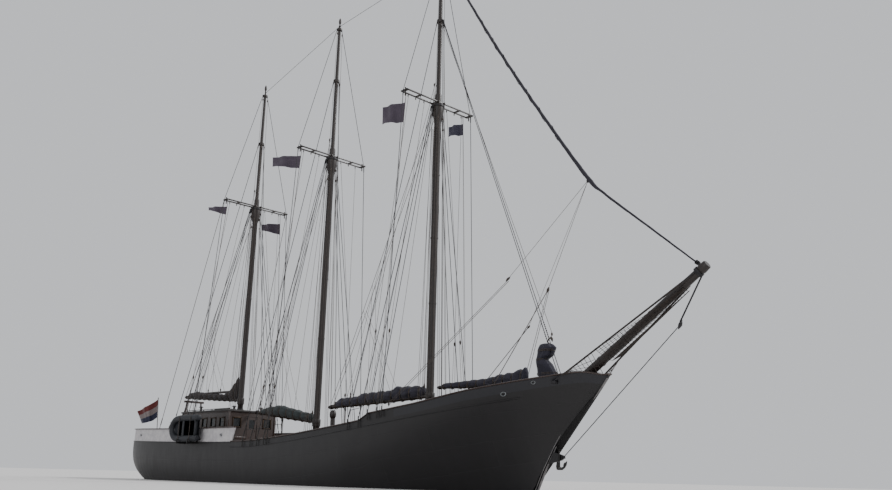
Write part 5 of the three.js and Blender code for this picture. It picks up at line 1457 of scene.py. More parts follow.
@dataclass
class Bowsprit:
    """The bowsprit with its guys, bobstay and net."""

    heel_x: float = 18.15
    tip_x: float = 26.35
    slope: float = 0.667
    tip_z: float = 9.45
    guy_from: tuple[float, float] = (25.93, 0.23)
    guy_to: tuple[float, float, float] = (19.3, 4.88, 0.17)
    net_x: tuple[float, float] = (25.3, 21.35)

    def z(self, x: float) -> float:
        """Gives the height of the spar's axis."""
        return self.tip_z - self.slope * (self.tip_x - x)

    def at(self, x: float) -> Vector:
        """Gives a point on the spar's axis."""
        return vec(x, 0, self.z(x))

    def guy_point(self, side: int, share: float) -> Vector:
        """Gives a point on a side guy, from 0 at the band to 1 at the bow."""
        x, z, out = self.guy_to
        end = vec(x, side * (LINES.side(x, z) + out), z)
        start = vec(self.guy_from[0], side * self.guy_from[1], self.z(self.guy_from[0]))
        return start.lerp(end, share)

    def build(self) -> None:
        """Builds the bowsprit's pieces."""
        self.spar()
        self.guys()
        self.net()

    def spar(self) -> None:
        """Turns the spar with its bands and end cap."""
        shape = Shape()
        start, end = self.at(self.heel_x), self.at(self.tip_x)
        full = (end - start).length
        along = lambda x: (x - self.heel_x) / (self.tip_x - self.heel_x) * full
        profile = [
            (0, 0), (0.24, 0), (0.25, 0.03), (0.2, along(22.2)), (0.178, along(26.03)), (0.215, along(26.05)),
            (0.22, along(26.1)), (0.2, along(26.32)), (0.17, full), (0, full),
        ]
        shape.lathe(profile, start, end - start, 32)
        for x, r in ((19.6, 0.238), (20.9, 0.222), (22.2, 0.2), (23.6, 0.192)):
            shape.lathe(
                [(r - 0.01, -0.06), (r + 0.016, -0.05), (r + 0.016, 0.05), (r - 0.01, 0.06)], self.at(x), end - start,
                32
            )
        shape.done("bowsprit_spar", Stuff.boom, "spar_paint", replaces=["bowsprit"], sharp=42)

    def guys(self) -> None:
        """Builds the side guys, the bobstay with its block, and their fittings."""
        wire = Shape()
        x, z = self.guy_from[0], self.z(self.guy_from[0])
        way = (self.at(x + 1) - self.at(x)).normalized()
        wire.lathe(
            [(0.179, -0.08), (0.235, -0.08), (0.24, -0.07), (0.24, 0.07), (0.235, 0.08), (0.179, 0.08)], self.at(x),
            way, 28
        )
        for d in (-1, 1):
            wire.rope(self.guy_point(d, 0), self.guy_point(d, 0.93), 0.024, sides=8)
            end, before = self.guy_point(d, 1), self.guy_point(d, 0.93)
            wire.turnbuckle(before, (end - before).normalized(), (end - before).length, 0.036)
            y = abs(end.y)
            wire.box(
                (end.x - 0.12, min(d * (y - 0.19), d * (y + 0.03)), end.z - 0.09),
                (end.x + 0.12, max(d * (y - 0.19), d * (y + 0.03)), end.z + 0.03), 0.01
            )
        block = vec(24.95, 0, 7.05)
        foot = vec(18.69, 0, 1.62)
        for off in (-0.03, 0.03):
            wire.rope(vec(x + 0.125, off, z - 0.19), block + vec(0, off, 0.12), 0.022)
        wire.block(block, vec(0.1, 0, 0.2), 0.17)
        wire.rope(block, foot + vec(0.06, 0, 0.05), 0.02, sides=8)
        wire.box((foot.x, -0.035, foot.z - 0.05), (foot.x + 0.1, 0.035, foot.z + 0.08), 0.01)
        wire.done("bowsprit_stays", Stuff.wire, "wire", replaces=["bowsprit_guys"])

    def net(self) -> None:
        """Knots the net: a wing on each side, the strip beneath the spar, and the lacing down to the bow's rails."""
        shape = Shape()
        fore, aft = self.net_x
        count = 24
        stations = [mix(fore, aft, i / count) for i in range(count + 1)]
        edge = lambda x: self.z(x) - 0.275
        share = lambda x: (self.guy_from[0] - x) / (self.guy_from[0] - self.guy_to[0])
        faces: list[bmesh.types.BMFace] = []
        for d in (-1, 1):
            aft_end = self.guy_point(d, share(aft))
            slope = (aft_end.z - edge(aft)) / (abs(aft_end.y) - 0.19)
            rings = []
            for i, x in enumerate(stations):
                wide = mix(0.27, abs(aft_end.y) - 0.03, i / count)
                row = []
                for j in range(8):
                    y = mix(0.19, wide, j / 7)
                    row.append(vec(x, d * y, edge(x) + slope * (y - 0.19) - 0.012))
                rings.append(row)
            faces += shape.loft(rings, closed=False, capped=False)
            lacing = []
            for i in range(9):
                x = mix(21.15, 19.75, i / 8)
                top = self.guy_point(d, share(x)) + vec(0, 0, -0.02)
                z = LINES.sheer(x) + 0.09
                rail = LINES.rim(LINES.share_at(x, z), z, 0.0)
                lacing.append([top.lerp(vec(x, d * rail.y, z), j / 3) for j in range(4)])
            faces += shape.loft(lacing, closed=False, capped=False)
        strip = [[vec(x, y, edge(x) - 0.012) for y in (-0.19, 0.0, 0.19)] for x in stations]
        faces += shape.loft(strip, closed=False, capped=False)
        bmesh.ops.wireframe(
            shape.bm, faces=faces, thickness=0.024, use_replace=True, use_boundary=True, use_even_offset=True
        )
        for d in (-1, 1):
            path = [self.guy_point(d, mix(share(fore), share(19.75), i / 20)) + vec(0, 0, -0.035) for i in range(21)]
            shape.tube(path, 0.032, 6)
        shape.done("bowsprit_net_mesh", Stuff.net, "netting", replaces=["bowsprit_net"])


def curve_through(points: Sequence[Vector], values: Sequence[float], step: float) -> tuple[list[Vector], list[float]]:
    """Draws a smooth line through points, with a number that changes along it.

    Args:
        points: the points.
        values: a number for each point.
        step: the length between the new points.

    Returns:
        The new points and their numbers.
    """
    path, made = [], []
    for i in range(len(points) - 1):
        p0, p1, p2, p3 = (points[clamp_index(i + k, len(points))] for k in (-1, 0, 1, 2))
        count = max(1, round((p2 - p1).length / step))
        for k in range(count):
            t = k / count
            a = p1 * 2
            b = p2 - p0
            c = p0 * 2 - p1 * 5 + p2 * 4 - p3
            e = p1 * 3 - p0 - p2 * 3 + p3
            path.append((a + b * t + c * t * t + e * t**3) / 2)
            smooth = t * t * (3 - 2 * t)
            made.append(mix(values[i], values[i + 1], smooth))
    return [*path, points[-1]], [*made, values[-1]]


def clamp_index(i: int, count: int) -> int:
    """Keeps a list's index inside it."""
    return max(0, min(count - 1, i))


@dataclass
class Headsails:
    """The furled jib on its stay, the inner stays, the bundled staysail and their gear."""

    bowsprit: Bowsprit
    clew: Vector = field(default_factory=lambda: vec(20.32, 0, 14.45))

    def build(self) -> None:
        """Builds the headsails."""
        self.jib()
        self.stays()
        self.bundle()
        self.pedestal()
        self.lines()

    def jib(self) -> None:
        """Rolls the jib on its stay: a spiral of cloth with the sheet wound round its clew."""
        mast = MASTS["fore"]
        head = mast.head - CAP_BELOW
        start = mast.x + mast.upper * 1.35 + 0.06
        points = [vec(start, 0, head)]
        table = (
            (10.6, 29.5), (12.04, 27.25), (14, 24), (16.02, 20.84), (18.2, 17.6), (20.32, 14.57), (21.3, 13.55),
            (23.6, 11.55), (25.6, 9.81), (25.93, 9.54)
        )
        points += [vec(x, 0, z) for x, z in table]
        radii = [0.03, 0.05, 0.07, 0.08, 0.08, 0.083, 0.1, 0.058, 0.047, 0.038, 0.033]
        path, sizes = curve_through(points, radii, 0.07)
        rings, around, length = [], 18, 0.0
        lengths = []
        for i, (point, size) in enumerate(zip(path, sizes)):
            along = (path[clamp_index(i + 1, len(path))] - path[clamp_index(i - 1, len(path))]).normalized()
            if i:
                length += (point - path[i - 1]).length
            lengths.append(length)
            up = vec(0, 1, 0).cross(along)
            ring = []
            for j in range(around):
                a = math.tau * j / around
                turn = (a / math.tau + length / 1.1) % 1.0
                wrap = 0.9 + 0.17 * turn + 0.1 * noise.noise(vec(length * 2.2, math.cos(a), math.sin(a)))
                ring.append(point + (up * math.cos(a) + vec(0, 1, 0) * math.sin(a)) * size * wrap)
            rings.append(ring)
        shape = Shape()
        shape.loft(rings, uv=lambda i, j: (lengths[i], j * 0.04))
        piece = shape.done("jib_furled_cloth", Stuff.jib, "sail", replaces=["headstay_jib"], sharp=50)
        gear = Shape()
        turns = []
        for i in range(91):
            t = i / 90
            k = clamp_index(round(mix(0.2, 0.6, t) * len(path)), len(path))
            a = math.tau * 7 * t
            along = (path[clamp_index(k + 1, len(path))] - path[k - 1]).normalized()
            up = vec(0, 1, 0).cross(along)
            turns.append(path[k] + (up * math.cos(a) + vec(0, 1, 0) * math.sin(a)) * (sizes[k] * 1.05 + 0.012))
        gear.tube(turns, 0.014, 5)
        drum = self.bowsprit.at(25.93) + vec(0, 0, 0.37)
        way = (path[-6] - path[-1]).normalized()
        gear.lathe(
            [(0, 0.02), (0.1, 0.02), (0.1, 0.04), (0.055, 0.05), (0.055, 0.1), (0.1, 0.11), (0.1, 0.13), (0, 0.13)],
            drum, way, 20
        )
        gear.box((25.915, -0.035, self.bowsprit.z(25.94) + 0.262), (26.02, 0.035, self.bowsprit.z(25.94) + 0.42), 0.01)
        gear.ball(self.clew, (0.09, 0.07, 0.12), sides=10)
        gear.bar(vec(mast.x + 0.16, 0, head + 0.02), path[2], 0.03, 0.03)
        gear.done("jib_stay_gear", Stuff.wire, "wire")

    def stays(self) -> None:
        """Builds the inner forestays and the stays between the mastheads."""
        shape = Shape()
        mast = MASTS["fore"]
        band = mast.head - BAND_BELOW
        start = mast.x + mast.upper * 1.5 + 0.03
        foot_z = self.bowsprit.z(18.78) + 0.3
        for d in (-1, 1):
            top, low = vec(start, d * 0.03, band), vec(18.78, d * 0.11, foot_z)
            way = (top - low).normalized()
            shape.rope(low + way * 0.7, top, 0.019)
            shape.turnbuckle(low + way * 0.02, way, 0.7)
            for k in range(9):
                at = low + way * (2.6 + 0.11 * k)
                shape.ball(at, (0.035, 0.035, 0.03), sides=8)
        shape.box((18.68, -0.14, foot_z - 0.15), (18.88, 0.14, foot_z + 0.02), 0.02)
        shape.box((start - 0.03, -0.055, band - 0.045), (start + 0.05, 0.055, band + 0.045), 0.01)
        shape.done("inner_forestay_wires", Stuff.wire, "wire", replaces=["inner_forestays"])
        aloft = Shape()
        heads = [(m.x, m.head - 0.6) for m in MASTS.values()]
        for (xa, za), (xb, zb) in zip(heads, heads[1:]):
            aloft.rope(vec(xa - 0.07, 0, za), vec(xb + 0.07, 0, zb), 0.014)
            for x, z, d in ((xa, za, -1), (xb, zb, 1)):
                aloft.ball(vec(x + d * 0.075, 0, z), (0.035, 0.03, 0.03), sides=8)
        aloft.lathe(
            [(0.0482, -0.03), (0.08, -0.025), (0.08, 0.025), (0.0482, 0.03)], vec(heads[1][0], 0, heads[1][1]), UP, 16
        )
        aloft.done("masthead_stay_wires", Stuff.wire, "wire", replaces=["triatic_stays"])

    def bundle(self) -> None:
        """Bundles the staysail round the foot of its stay, flaked, tied and square at its top."""
        rows = (
            (4.98, 17.85, 18.55, 0.2), (5.4, 17.2, 18.4, 0.3), (5.9, 17.17, 18.05, 0.34), (6.14, 17.18, 17.78, 0.3),
            (6.3, 17.2, 18.1, 0.33), (6.67, 17.25, 18.27, 0.32), (6.84, 17.35, 18.1, 0.24), (6.88, 17.5, 17.9, 0.14),
        )
        shape = Shape()
        heights, around = [mix(4.98, 6.88, i / 60) for i in range(61)], 44
        rings = []
        for z in heights:
            for low, high in zip(rows, rows[1:]):
                if z <= high[0]:
                    t = clamp((z - low[0]) / (high[0] - low[0]))
                    aft_x, fore_x, half_y = (mix(low[k], high[k], t) for k in (1, 2, 3))
                    break
            ring = []
            for j in range(around):
                a = math.tau * j / around
                crease = sum(
                    d * (1 - abs(math.sin(k * a / 2 + w + 0.6 * z))) ** 3
                    for k, d, w in ((5, 0.12, 0.3), (9, 0.07, 1.2))
                )
                lump = 0.08 * noise.noise(vec(z * 2.4, math.cos(a) * 1.5, math.sin(a) * 1.5))
                size = 0.99 - crease + lump
                ring.append(
                    vec(
                        (aft_x + fore_x) / 2 + (fore_x - aft_x) / 2 * math.cos(a) * size, half_y * math.sin(a) * size, z
                    )
                )
            rings.append(ring)
        shape.loft(rings, uv=lambda i, j: (heights[i], j * 0.05))
        piece = shape.done("staysail_bundle_cloth", Stuff.fore_sail, "sail", replaces=["staysail_bundle"], sharp=180)
        ties = Shape()
        for z, aft_x, fore_x, half_y in (
            (5.45, 17.19, 18.36, 0.3), (6.12, 17.18, 17.8, 0.31), (6.55, 17.24, 18.22, 0.32)
        ):
            for lift in (-0.03, 0.03):
                loop = []
                for i in range(24):
                    a = math.tau * i / 24
                    loop.append(
                        vec(
                            (aft_x + fore_x) / 2 + (fore_x - aft_x) / 2 * 0.97 * math.cos(a),
                            half_y * 0.97 * math.sin(a), z + lift
                        )
                    )
                ties.tube(loop, 0.018, 5, looped=True)
        hook = vec(18.06, 0, 7.08)
        ties.block(hook, vec(-0.3, 0, 1), 0.12)
        ties.ball(vec(18.07, 0, 7.3), (0.05, 0.05, 0.09), sides=10)
        ties.tube([vec(17.95, 0, 6.85), vec(17.8, 0, 6.95), vec(17.88, 0, 7.1), vec(18.04, 0, 7.16)], 0.04, 6)
        ties.rope(vec(18.07, 0.03, 7.32), vec(10.0, 0.06, 26.3), 0.012)
        ties.done("staysail_bundle_ties", Stuff.rope, "wire")

    def pedestal(self) -> None:
        """Turns the staysail boom's pedestal and its pin."""
        shape = Shape()
        x, pivot_z = PEDESTAL
        base, top = LINES.main_deck(x), pivot_z - SADDLE_BELOW
        profile = [
            (0, base), (0.3, base), (0.3, base + 0.05), (0.2, base + 0.09), (0.14, top - 0.4), (0.155, top - 0.38),
            (0.155, top - 0.33), (0.14, top - 0.31), (0.14, top), (0.09, top), (0.09, 5.17), (0.11, 5.175),
            (0.11, 5.19), (0, 5.19),
        ]
        shape.lathe(profile, vec(x, 0, 0), UP, 28)
        shape.done("staysail_boom_pedestal", Stuff.spar, "spar_paint", replaces=["staysail_pedestal"])

    def lines(self) -> None:
        """Leads the jib's sheets from its clew through their blocks to the rails."""
        shape = Shape()
        for mid, end in (
            (vec(16.61, -1.5, 9.92), vec(9.9, -2.95, 4.15)), (vec(16.62, 1.5, 9.87), vec(14.1, 2.35, 4.6))
        ):
            shape.rope(self.clew, mid, 0.011)
            way = (mid - end).normalized()
            shape.block(mid, way, 0.13)
            for off in (-0.05, 0.05):
                shape.rope(mid + vec(0, off, -0.1), end + vec(off * 2, 0, 0), 0.013)
            shape.block(end, UP, 0.1)
        for mid, end in ((vec(19.07, -1.5, 9.06), vec(16.3, -2.1, 4.85)), (vec(15.0, 1.9, 8.2), vec(9.0, 2.98, 4.0))):
            shape.rope(self.clew, mid, 0.009)
            shape.block(mid, (mid - end).normalized(), 0.11)
            shape.rope(mid, end, 0.02)
        shape.done("jib_sheets", Stuff.rope, "wire")


# Deck


@dataclass
class Deckhouse:
    """The deckhouse's windows, mouldings and mast boot, and the trunk cabin's portlights."""

    frame: dict[str, Any]
    fore_x: float = -7.3
    aft_x: float = -13.4
    half: float = 1.75
    window_z: float = 3.8
    window_half: tuple[float, float] = (0.31, 0.3)

    def build(self) -> None:
        """Dresses the walls, the roof and what stands on them."""
        dress(self.frame, "deckhouse_walls", Stuff.house)
        dress(self.frame, "deckhouse_roof", Stuff.roof, 10)
        dress(self.frame, "deckhouse_door", Stuff.door, 3)
        dress(self.frame, "trunk_cabin", Stuff.house, 6)
        dress(self.frame, "hatch_lid", Stuff.roof, 6)
        for name in ("steps_starboard", "steps_port"):
            dress(self.frame, name, Stuff.rail, 4)
        self.windows()
        self.roof_gear()
        self.trim()

    def wall_box(self, wall: tuple[float, float, bool], across: Point, up: Point, deep: Point) -> tuple[Point, Point]:
        """Gives a box's corners on a wall of the house.

        Args:
            wall: the opening's x and y, and whether its wall runs fore and aft.
            across: the box's span along the wall, from the opening's middle.
            up: its span upwards, from there.
            deep: its span outwards from the wall's face.

        Returns:
            The lowest and highest corner.
        """
        x, y, lengthwise = wall
        out = 1 if (y > 0 if lengthwise else x == self.fore_x) else -1
        near, far = sorted(out * reach for reach in deep)
        low_z, high_z = self.window_z + up[0], self.window_z + up[1]
        if lengthwise:
            return (x + across[0], y + near, low_z), (x + across[1], y + far, high_z)
        return (x + near, y + across[0], low_z), (x + far, y + across[1], high_z)

    def windows(self) -> None:
        """Fits a browned bronze frame and a pane in each opening."""
        frames, panes = Shape(), Shape()
        side_w, h = self.window_half
        end_w, lap = 0.3, 0.04
        sides = [(-12.6 + 1.12 * i, d * self.half, True) for i in range(5) for d in (-1, 1)]
        ends = [(self.fore_x, y, False) for y in (-1.15, 1.15)] + [(self.aft_x, y, False) for y in (-1.15, 0, 1.15)]
        for wall in sides + ends:
            w = side_w if wall[2] else end_w
            for u0, u1, v0, v1 in ((-1, 1, 1, 1), (-1, 1, -1, -1), (-1, -1, -1, 1), (1, 1, -1, 1)):
                across, up = (u0 * w - lap, u1 * w + lap), (v0 * h - lap, v1 * h + lap)
                frames.box(*self.wall_box(wall, across, up, (0.002, 0.03)), 0.008)
            panes.box(*self.wall_box(wall, (-w, w), (-h, h), (-0.03, -0.042)))
        frames.done("window_frames", Stuff.dark_bronze, "house_wood")
        panes.done("window_panes", Stuff.glass, "house_wood")
        pane = Shape()
        pane.box((self.fore_x - 0.05, -0.2, 3.44), (self.fore_x - 0.04, 0.2, 4.0))
        pane.done("door_pane", Stuff.glass, "house_wood", "deckhouse_door_body")

    def roof_gear(self) -> None:
        """Sets the mast's boot on the roof."""
        roof = 4.6
        boot = Shape()
        boot.lathe(
            [(0.19, roof), (0.27, roof + 0.01), (0.26, roof + 0.09), (0.2, roof + 0.2), (0.187, roof + 0.21)],
            vec(MASTS["mizzen"].x, 0, 0), UP, 28
        )
        boot.done("mizzen_mast_boot", Stuff.iron, "roof_paint")

    def trim(self) -> None:
        """Runs mouldings under the roof's edge and round the house's foot, and fits the trunk cabin's portlights."""
        shape = Shape()
        for d in (-1, 1):
            y = d * self.half
            near, far = sorted((y + d * 0.002, y + d * 0.035))
            for z0, z1 in ((2.74, 2.9), (4.42, 4.49)):
                shape.box((self.aft_x - 0.03, near, z0), (self.fore_x + 0.03, far, z1), 0.01)
            for x in (self.aft_x, self.fore_x):
                shape.box((x - 0.05, y - 0.05, 2.75), (x + 0.05, y + 0.05, 4.49), 0.02)
        for x, d in ((self.aft_x, -1), (self.fore_x, 1)):
            near, far = sorted((x + d * 0.002, x + d * 0.035))
            spans = ((-self.half, self.half),) if d < 0 else ((-self.half, -0.42), (0.42, self.half))
            for low, high in spans:
                shape.box((near, low, 2.74), (far, high, 2.9), 0.01)
            shape.box((near, -self.half, 4.42), (far, self.half, 4.49), 0.01)
        shape.done("deckhouse_mouldings", Stuff.rail, "house_wood")
        ports, glass = Shape(), Shape()
        for x in (4.9, 5.8, 6.7):
            for d in (-1, 1):
                place, out = vec(x, d * 1.2, 2.95), vec(0, d, 0)
                ports.lathe([(0.1, 0), (0.145, 0.002), (0.145, 0.02), (0.11, 0.035), (0.1, 0.03)], place, out, 20)
                glass.lathe([(0, 0.004), (0.105, 0.004), (0.105, 0.012), (0, 0.012)], place, out, 20)
        ports.done("trunk_portlights", Stuff.brass, "house_wood")
        glass.done("trunk_portlight_panes", Stuff.glass, "house_wood")


@dataclass
class DeckGear:
    """Fife rails, windlass, helm, gallows, crutch, anchor, propeller and the ropes stowed about them."""

    frame: dict[str, Any]

    def build(self) -> None:
        """Builds and dresses the gear."""
        for node, finish, bevel in (
            ("fore_fife_rail", Stuff.rail, 5), ("main_fife_rail", Stuff.rail, 5), ("windlass_frame", Stuff.iron, 6),
            ("windlass_drum", Stuff.iron, 4),
            ("helm_pedestal", Stuff.door, 6), ("boom_gallows", Stuff.rail, 5), ("tender_brackets", Stuff.iron, 5),
        ):
            dress(self.frame, node, finish, bevel)
        self.pins()
        self.crutch()
        self.wheel()
        self.anchor()
        self.chain()
        self.bollards()
        self.screw()

    def pins(self) -> None:
        """Sets belaying pins with their coils in the fife rails and along the bulwarks."""
        pins, coils = Shape(), Shape()
        profile = [
            (0, -0.22), (0.016, -0.21), (0.018, -0.01), (0.028, 0.0), (0.03, 0.03), (0.02, 0.06), (0.024, 0.12),
            (0.014, 0.17), (0, 0.175)
        ]
        for name, height in (("fore", 0.95), ("main", 1.15)):
            mast = MASTS[name]
            top = LINES.main_deck(mast.x) + height + 0.03
            for d in (-1, 1):
                for k in range(6):
                    spot = vec(mast.x - 0.62 + 0.25 * k, d * 0.75, top)
                    pins.lathe(profile, spot, UP, 8)
                    if k % 2 == 0:
                        coils.coil(spot + vec(0, d * 0.075, 0.0), vec(0, d, 0), 0.46, 3, 0.018)
            for k in range(3):
                pins.lathe(profile, vec(mast.x + 0.75, -0.25 + 0.25 * k, top), UP, 8)
        for x, count in ((7.2, 7), (-2.6, 7)):
            for d in (-1, 1):
                for k in range(count):
                    place = x + 0.3 * k
                    z = LINES.deck_line(place) - 0.12
                    y = LINES.side(place, z) - 0.2
                    pins.lathe(profile, vec(place, d * y, z), UP, 8)
                    if k % 2:
                        coils.coil(vec(place, d * (y - 0.05), z), vec(0, -d, 0), 0.42, 3, 0.018)
                low = min(LINES.side(x, 3), LINES.side(x + 0.3 * count, 3)) - 0.26
                z = LINES.deck_line(x + 0.15 * count) - 0.13
                pins.box(
                    (x - 0.15, min(d * low, d * (low + 0.12)), z - 0.02),
                    (x + 0.3 * count, max(d * low, d * (low + 0.12)), z + 0.02), 0.008
                )
        pins.done("belaying_pins", Stuff.rail, "rail_wood")
        coils.done("coiled_falls", Stuff.rope, "wire")

    def crutch(self) -> None:
        """Turns the boom's crutch post with its round head."""
        shape = Shape()
        base = LINES.main_deck(1.42)
        profile = [
            (0, base), (0.2, base), (0.2, base + 0.05), (0.14, base + 0.08), (0.11, 3.86), (0.15, 3.89), (0.19, 3.97),
            (0.2, 4.1), (0.185, 4.22), (0.13, 4.32), (0.06, 4.34), (0, 4.34),
        ]
        shape.lathe(profile, vec(1.42, 0, 0), UP, 28)
        shape.done("fore_boom_crutch_post", Stuff.spar, "rail_wood", replaces=["fore_boom_crutch"])

    def wheel(self) -> None:
        """Builds the helm's wheel: felloe, turned spokes with handles, and a brass hub."""
        shape = Shape()
        x, z, rim = -17.62, 3.62, 0.52
        for r, size in ((rim, 0.032), (rim * 0.62, 0.02)):
            loop = [vec(x, r * math.cos(math.tau * i / 40), z + r * math.sin(math.tau * i / 40)) for i in range(40)]
            shape.tube(loop, size, 8, looped=True)
        for i in range(8):
            a = math.tau * i / 8
            way = vec(0, math.cos(a), math.sin(a))
            profile = [
                (0, 0.05), (0.02, 0.05), (0.028, 0.2), (0.014, 0.3), (0.022, 0.42), (0.016, 0.5), (0.014, 0.55),
                (0.024, 0.6), (0.02, 0.65), (0, 0.66)
            ]
            shape.lathe(profile, vec(x, 0, z), way, 10)
        shape.done("helm_wheel_rim", Stuff.rail, "rail_wood", "helm_wheel_body", ["helm_wheel"])
        hub = Shape()
        hub.lathe(
            [(0, -0.06), (0.09, -0.06), (0.1, -0.04), (0.1, 0.03), (0.06, 0.05), (0.055, 0.158), (0, 0.158)],
            vec(x, 0, z), vec(1, 0, 0), 24
        )
        hub.done("helm_wheel_hub", Stuff.brass, "rail_wood", "helm_wheel_body")

    def anchor(self) -> None:
        """Builds the stockless anchor beside the stem: shank, crown, curved arms with palms, and shackle."""
        shape = Shape()
        x, y = 18.54, -0.1138
        shape.lathe(
            [(0, 1.14), (0.05, 1.15), (0.045, 1.5), (0.035, 1.86), (0.04, 1.9), (0, 1.92)], vec(x, y, 0), UP, 16
        )
        shape.box((x - 0.07, y - 0.1, 1.08), (x + 0.07, y + 0.1, 1.21), 0.03)
        for d in (-1, 1):
            arm = [
                vec(x, y + d * 0.04, 1.13), vec(x + 0.04, y + d * 0.16, 1.13), vec(x + 0.09, y + d * 0.26, 1.21),
                vec(x + 0.15, y + d * 0.32, 1.38), vec(x + 0.18, y + d * 0.335, 1.48)
            ]
            shape.tube(arm, [0.07, 0.062, 0.052, 0.04, 0.01], 10)
            shape.ball(vec(x + 0.12, y + d * 0.27, 1.31), (0.03, 0.075, 0.12), vec(0.3, d * 0.3, 1), 12)
        turns = [math.tau * i / 16 for i in range(16)]
        shape.tube([vec(x + 0.05 * math.cos(a), y, 1.945 + 0.05 * math.sin(a)) for a in turns], 0.014, 6, looped=True)
        shape.done("bow_anchor", Stuff.iron, "cast_iron", replaces=["anchor"])

    def chain(self) -> None:
        """Lays the two anchor chains from the windlass to their deck pipes."""
        shape = Shape()

        def link(place: Vector, way: Vector, flat: bool, size: float = 0.055) -> None:
            """Adds one link of chain along a direction."""
            side = way.orthogonal().normalized()
            if flat:
                side = way.cross(side)
            loop = []
            for i in range(12):
                a = math.tau * i / 12
                stretch = way * (size * 1.35 * math.sin(a))
                loop.append(place + stretch + side * (size * 0.8 * math.cos(a)))
            shape.tube(loop, size * 0.26, 5, looped=True)

        for d in (-1, 1):
            start = vec(16.02, d * 0.72, LINES.main_deck(16.0) + 0.56)
            end = vec(17.3, d * 0.62, LINES.main_deck(17.3) + 0.06)
            count = int((end - start).length / 0.1)
            for i in range(count):
                link(start.lerp(end, i / count), (end - start).normalized(), bool(i % 2))
            shape.lathe([(0.09, 0), (0.15, 0), (0.15, 0.03), (0.09, 0.05)], end - vec(0, 0, 0.06), UP, 16)
        shape.done("anchor_chains", Stuff.iron, "cast_iron")

    def bollards(self) -> None:
        """Stands pairs of bollards and mushroom vents on the decks."""
        shape = Shape()
        post = [(0, 0), (0.11, 0), (0.1, 0.04), (0.09, 0.3), (0.125, 0.33), (0.12, 0.38), (0, 0.39)]
        for x in (17.6, 12.4, -4.9, -19.2):
            deck = LINES.main_deck(x) if x > LINES.break_x else LINES.quarter_deck(x)
            reach = min(LINES.side(x - 0.3, deck), LINES.side(x + 0.3, deck)) - 0.42
            for d in (-1, 1):
                shape.box((x - 0.34, d * reach - 0.14, deck - 0.01), (x + 0.34, d * reach + 0.14, deck + 0.04), 0.01)
                for off in (-0.2, 0.2):
                    shape.lathe(post, vec(x + off, d * reach, deck + 0.03), UP, 18)
        cowl = [(0, 0), (0.12, 0), (0.1, 0.03), (0.1, 0.26), (0.2, 0.28), (0.21, 0.32), (0.14, 0.4), (0, 0.42)]
        for x, y in ((13.2, 1.1), (13.2, -1.1), (3.4, 1.3), (3.4, -1.3)):
            shape.lathe(cowl, vec(x, y, LINES.main_deck(x) - 0.01), UP, 20)
        shape.done("bollards_and_vents", Stuff.iron, "cast_iron")

    def screw(self) -> None:
        """Casts the propeller: a hub and three twisted blades."""
        shape = Shape()
        x0, z, radius = -16.6, -1.98, 0.6
        shape.lathe(
            [(0, 0), (0.15, 0), (0.15, 0.2), (0.12, 0.4), (0.06, 0.52), (0, 0.55)], vec(x0, 0, z), vec(-1, 0, 0), 24
        )
        for blade in range(3):
            turn = Matrix.Rotation(math.tau * blade / 3, 4, "X")
            rings = []
            for i in range(9):
                t = i / 8
                r = mix(0.06, radius * 0.985, t)
                chord = 0.2 * math.sin(math.pi * clamp(0.18 + 0.8 * t)) + 0.02
                pitch = mix(1.1, 0.45, t)
                ring = []
                for j in range(10):
                    a = math.tau * j / 10
                    u, v = chord * math.cos(a), 0.02 * (1 - 0.6 * t) * math.sin(a)
                    ring.append(turn @ vec(u * math.sin(pitch) + v, u * math.cos(pitch), r) + vec(-16.86, 0, z))
                rings.append(ring)
            shape.loft(rings)
        shape.done("propeller_casting", Stuff.bronze, "bronze", "propeller_body", ["propeller"])


